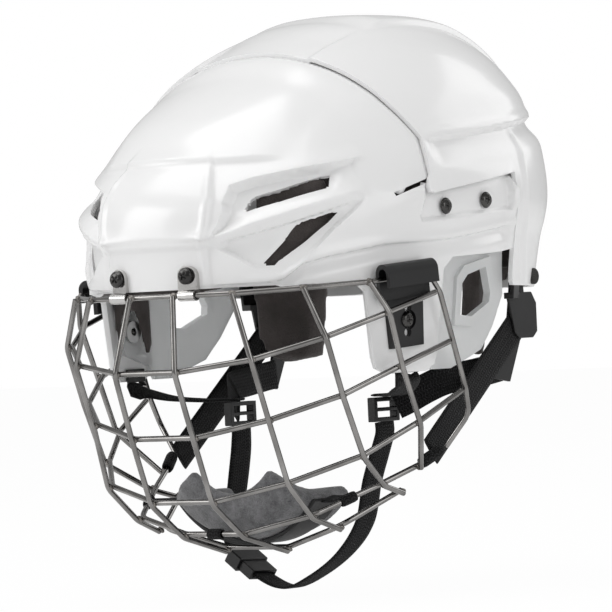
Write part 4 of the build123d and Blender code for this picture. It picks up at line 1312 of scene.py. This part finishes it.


# The four legs of the chin strap. The front ones hang from the lobes in front of the ears. The
# rear ones run from the yokes to the sliders.
FRONT_LEG_SHARES = [
    (0.848, -0.304, -0.703), (0.848, -0.304, -0.735), (0.819, -0.268, -0.76), (0.726, -0.203, -0.792),
    (0.614, -0.13, -0.808), (0.53, -0.065, -0.812), (0.456, -0.043, -0.812),
]
REAR_LEG_SHARES = [
    (0.732, 0.464, -0.701), (0.732, 0.377, -0.715), (0.715, 0.261, -0.733), (0.688, 0.123, -0.751),
    (0.623, 0.065, -0.787), (0.549, 0.022, -0.833), (0.50, -0.01, -0.86),
]
slider_top = share_place(CHIN_LOOP_SHARES[0]).z + 0.013 + 0.0004 + tape_thickness / 2
lift = slider_top - share_place(FRONT_LEG_SHARES[-1]).z
yoke_flat = 0.0795 - tape_thickness / 2 - 0.0004
for side, turn in (("left", 1), ("right", -1)):
    points = [share_place(row) for row in FRONT_LEG_SHARES]
    points = points[:2] + [spot + Vector((0, 0, lift)) for spot in points[2:]]
    points = [Vector((turn * spot.x, spot.y, spot.z)) for spot in points]
    leg = tape("front_leg_" + side, smooth_route(points), [(0, 1, 0)], tape_width, tape_thickness)
    dress(leg, black_tape, "chin_strap_front_leg_" + side)
    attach(leg, "front_half")
    points = [share_place(row) for row in REAR_LEG_SHARES]
    points[:2] = [Vector((yoke_flat, spot.y, spot.z)) for spot in points[:2]]
    points = [Vector((turn * spot.x, spot.y, spot.z)) for spot in points]
    leg = tape("rear_leg_" + side, smooth_route(points), [(0, 0, 1)], tape_width, tape_thickness)
    dress(leg, black_tape, "chin_strap_rear_leg_" + side)
    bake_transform(leg)


# The cage's straps: the same tape, sewn in a loop round the wire at each rear corner of the
# cage, up to a snap clip on the rear half.
cage_side = 0.0852 + tape_thickness / 2
start = cage_point(BAR_SHARES[3][3])
end = cage_point(BAR_SHARES[3][4])
wire_way = (end - start).normalized()
wrap_centre = start + (end - start) * 0.55
wrap_radius = wire_radius + 0.0002 + tape_thickness / 2


def wrap(name, centre, axis, radius, width, thickness):
    """Tape once round a wire."""
    first = axis.orthogonal().normalized()
    second = axis.cross(first)
    ring = []
    steps = 24
    for step in range(steps + 1):
        angle = 2 * math.pi * step / steps
        ring.append(centre + (first * math.cos(angle) + second * math.sin(angle)) * radius)
    return tape(name, ring, [tuple(axis)], width, thickness)


for side, turn in (("left", 1), ("right", -1)):
    route = [Vector((turn * cage_side, -0.0155, -0.1200)), Vector((turn * cage_side, 0.0742, -0.0500))]
    strap = tape("cage_strap_tape_" + side, smooth_route(route), [(0, 0.62, -0.78)], 0.0168, tape_thickness)
    dress(strap, black_tape, "cage_strap_" + side)
    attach(strap, "cage")
    centre = Vector((turn * wrap_centre.x, wrap_centre.y, wrap_centre.z))
    axis = Vector((turn * wire_way.x, wire_way.y, wire_way.z))
    loop = wrap("cage_strap_loop_" + side, centre, axis, wrap_radius, 0.014, tape_thickness)
    dress(loop, black_tape)
    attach(loop, "cage")


# The chin cup's tabs: narrow tape from the carrier's ends and its front, once round the nearest
# wire.
cup_radius = 0.057
cup_axis_drop = 0.106
cup_turn = math.radians(52)
narrow = 0.009
thin = 0.0012
tab_radius = wire_radius + 0.0002 + thin / 2
carrier_radius = cup_radius + 0.0002 + 0.001
for side, turn in (("left", 1), ("right", -1)):
    low = cage_point(BAR_SHARES[3][1])
    high = cage_point(BAR_SHARES[3][2])
    middle = (low + high) / 2
    root_height = -cup_axis_drop - carrier_radius * math.cos(cup_turn)
    root = Vector((carrier_radius * math.sin(cup_turn), -0.055, root_height))
    tip = middle + (root - middle).normalized() * tab_radius
    root = root + (middle - root).normalized() * 0.0003
    route = [Vector((turn * spot.x, spot.y, spot.z)) for spot in (root, tip)]
    across = (high - low).normalized()
    across = Vector((turn * across.x, across.y, across.z))
    tab = tape("cup_side_tab_" + side, smooth_route(route), [tuple(across)], narrow, thin)
    dress(tab, black_tape, "chin_pad_side_tab_" + side)
    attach(tab, "cage")
    centre = Vector((turn * middle.x, middle.y, middle.z))
    loop = wrap("cup_side_loop_" + side, centre, across, tab_radius, narrow, thin)
    dress(loop, black_tape)
    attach(loop, "cage")
corner = cage_point(BAR_SHARES[3][0])
middle = Vector((0, corner.y, corner.z))
root = Vector((0, -0.0662, -cup_axis_drop - carrier_radius))
route = [root, middle + (root - middle).normalized() * tab_radius]
tab = tape("cup_front_tab", smooth_route(route), [(1, 0, 0)], narrow, thin)
dress(tab, black_tape, "chin_pad_front_tab")
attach(tab, "cage")
loop = wrap("cup_front_loop", middle, Vector((1, 0, 0)), tab_radius, narrow, thin)
dress(loop, black_tape)
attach(loop, "cage")
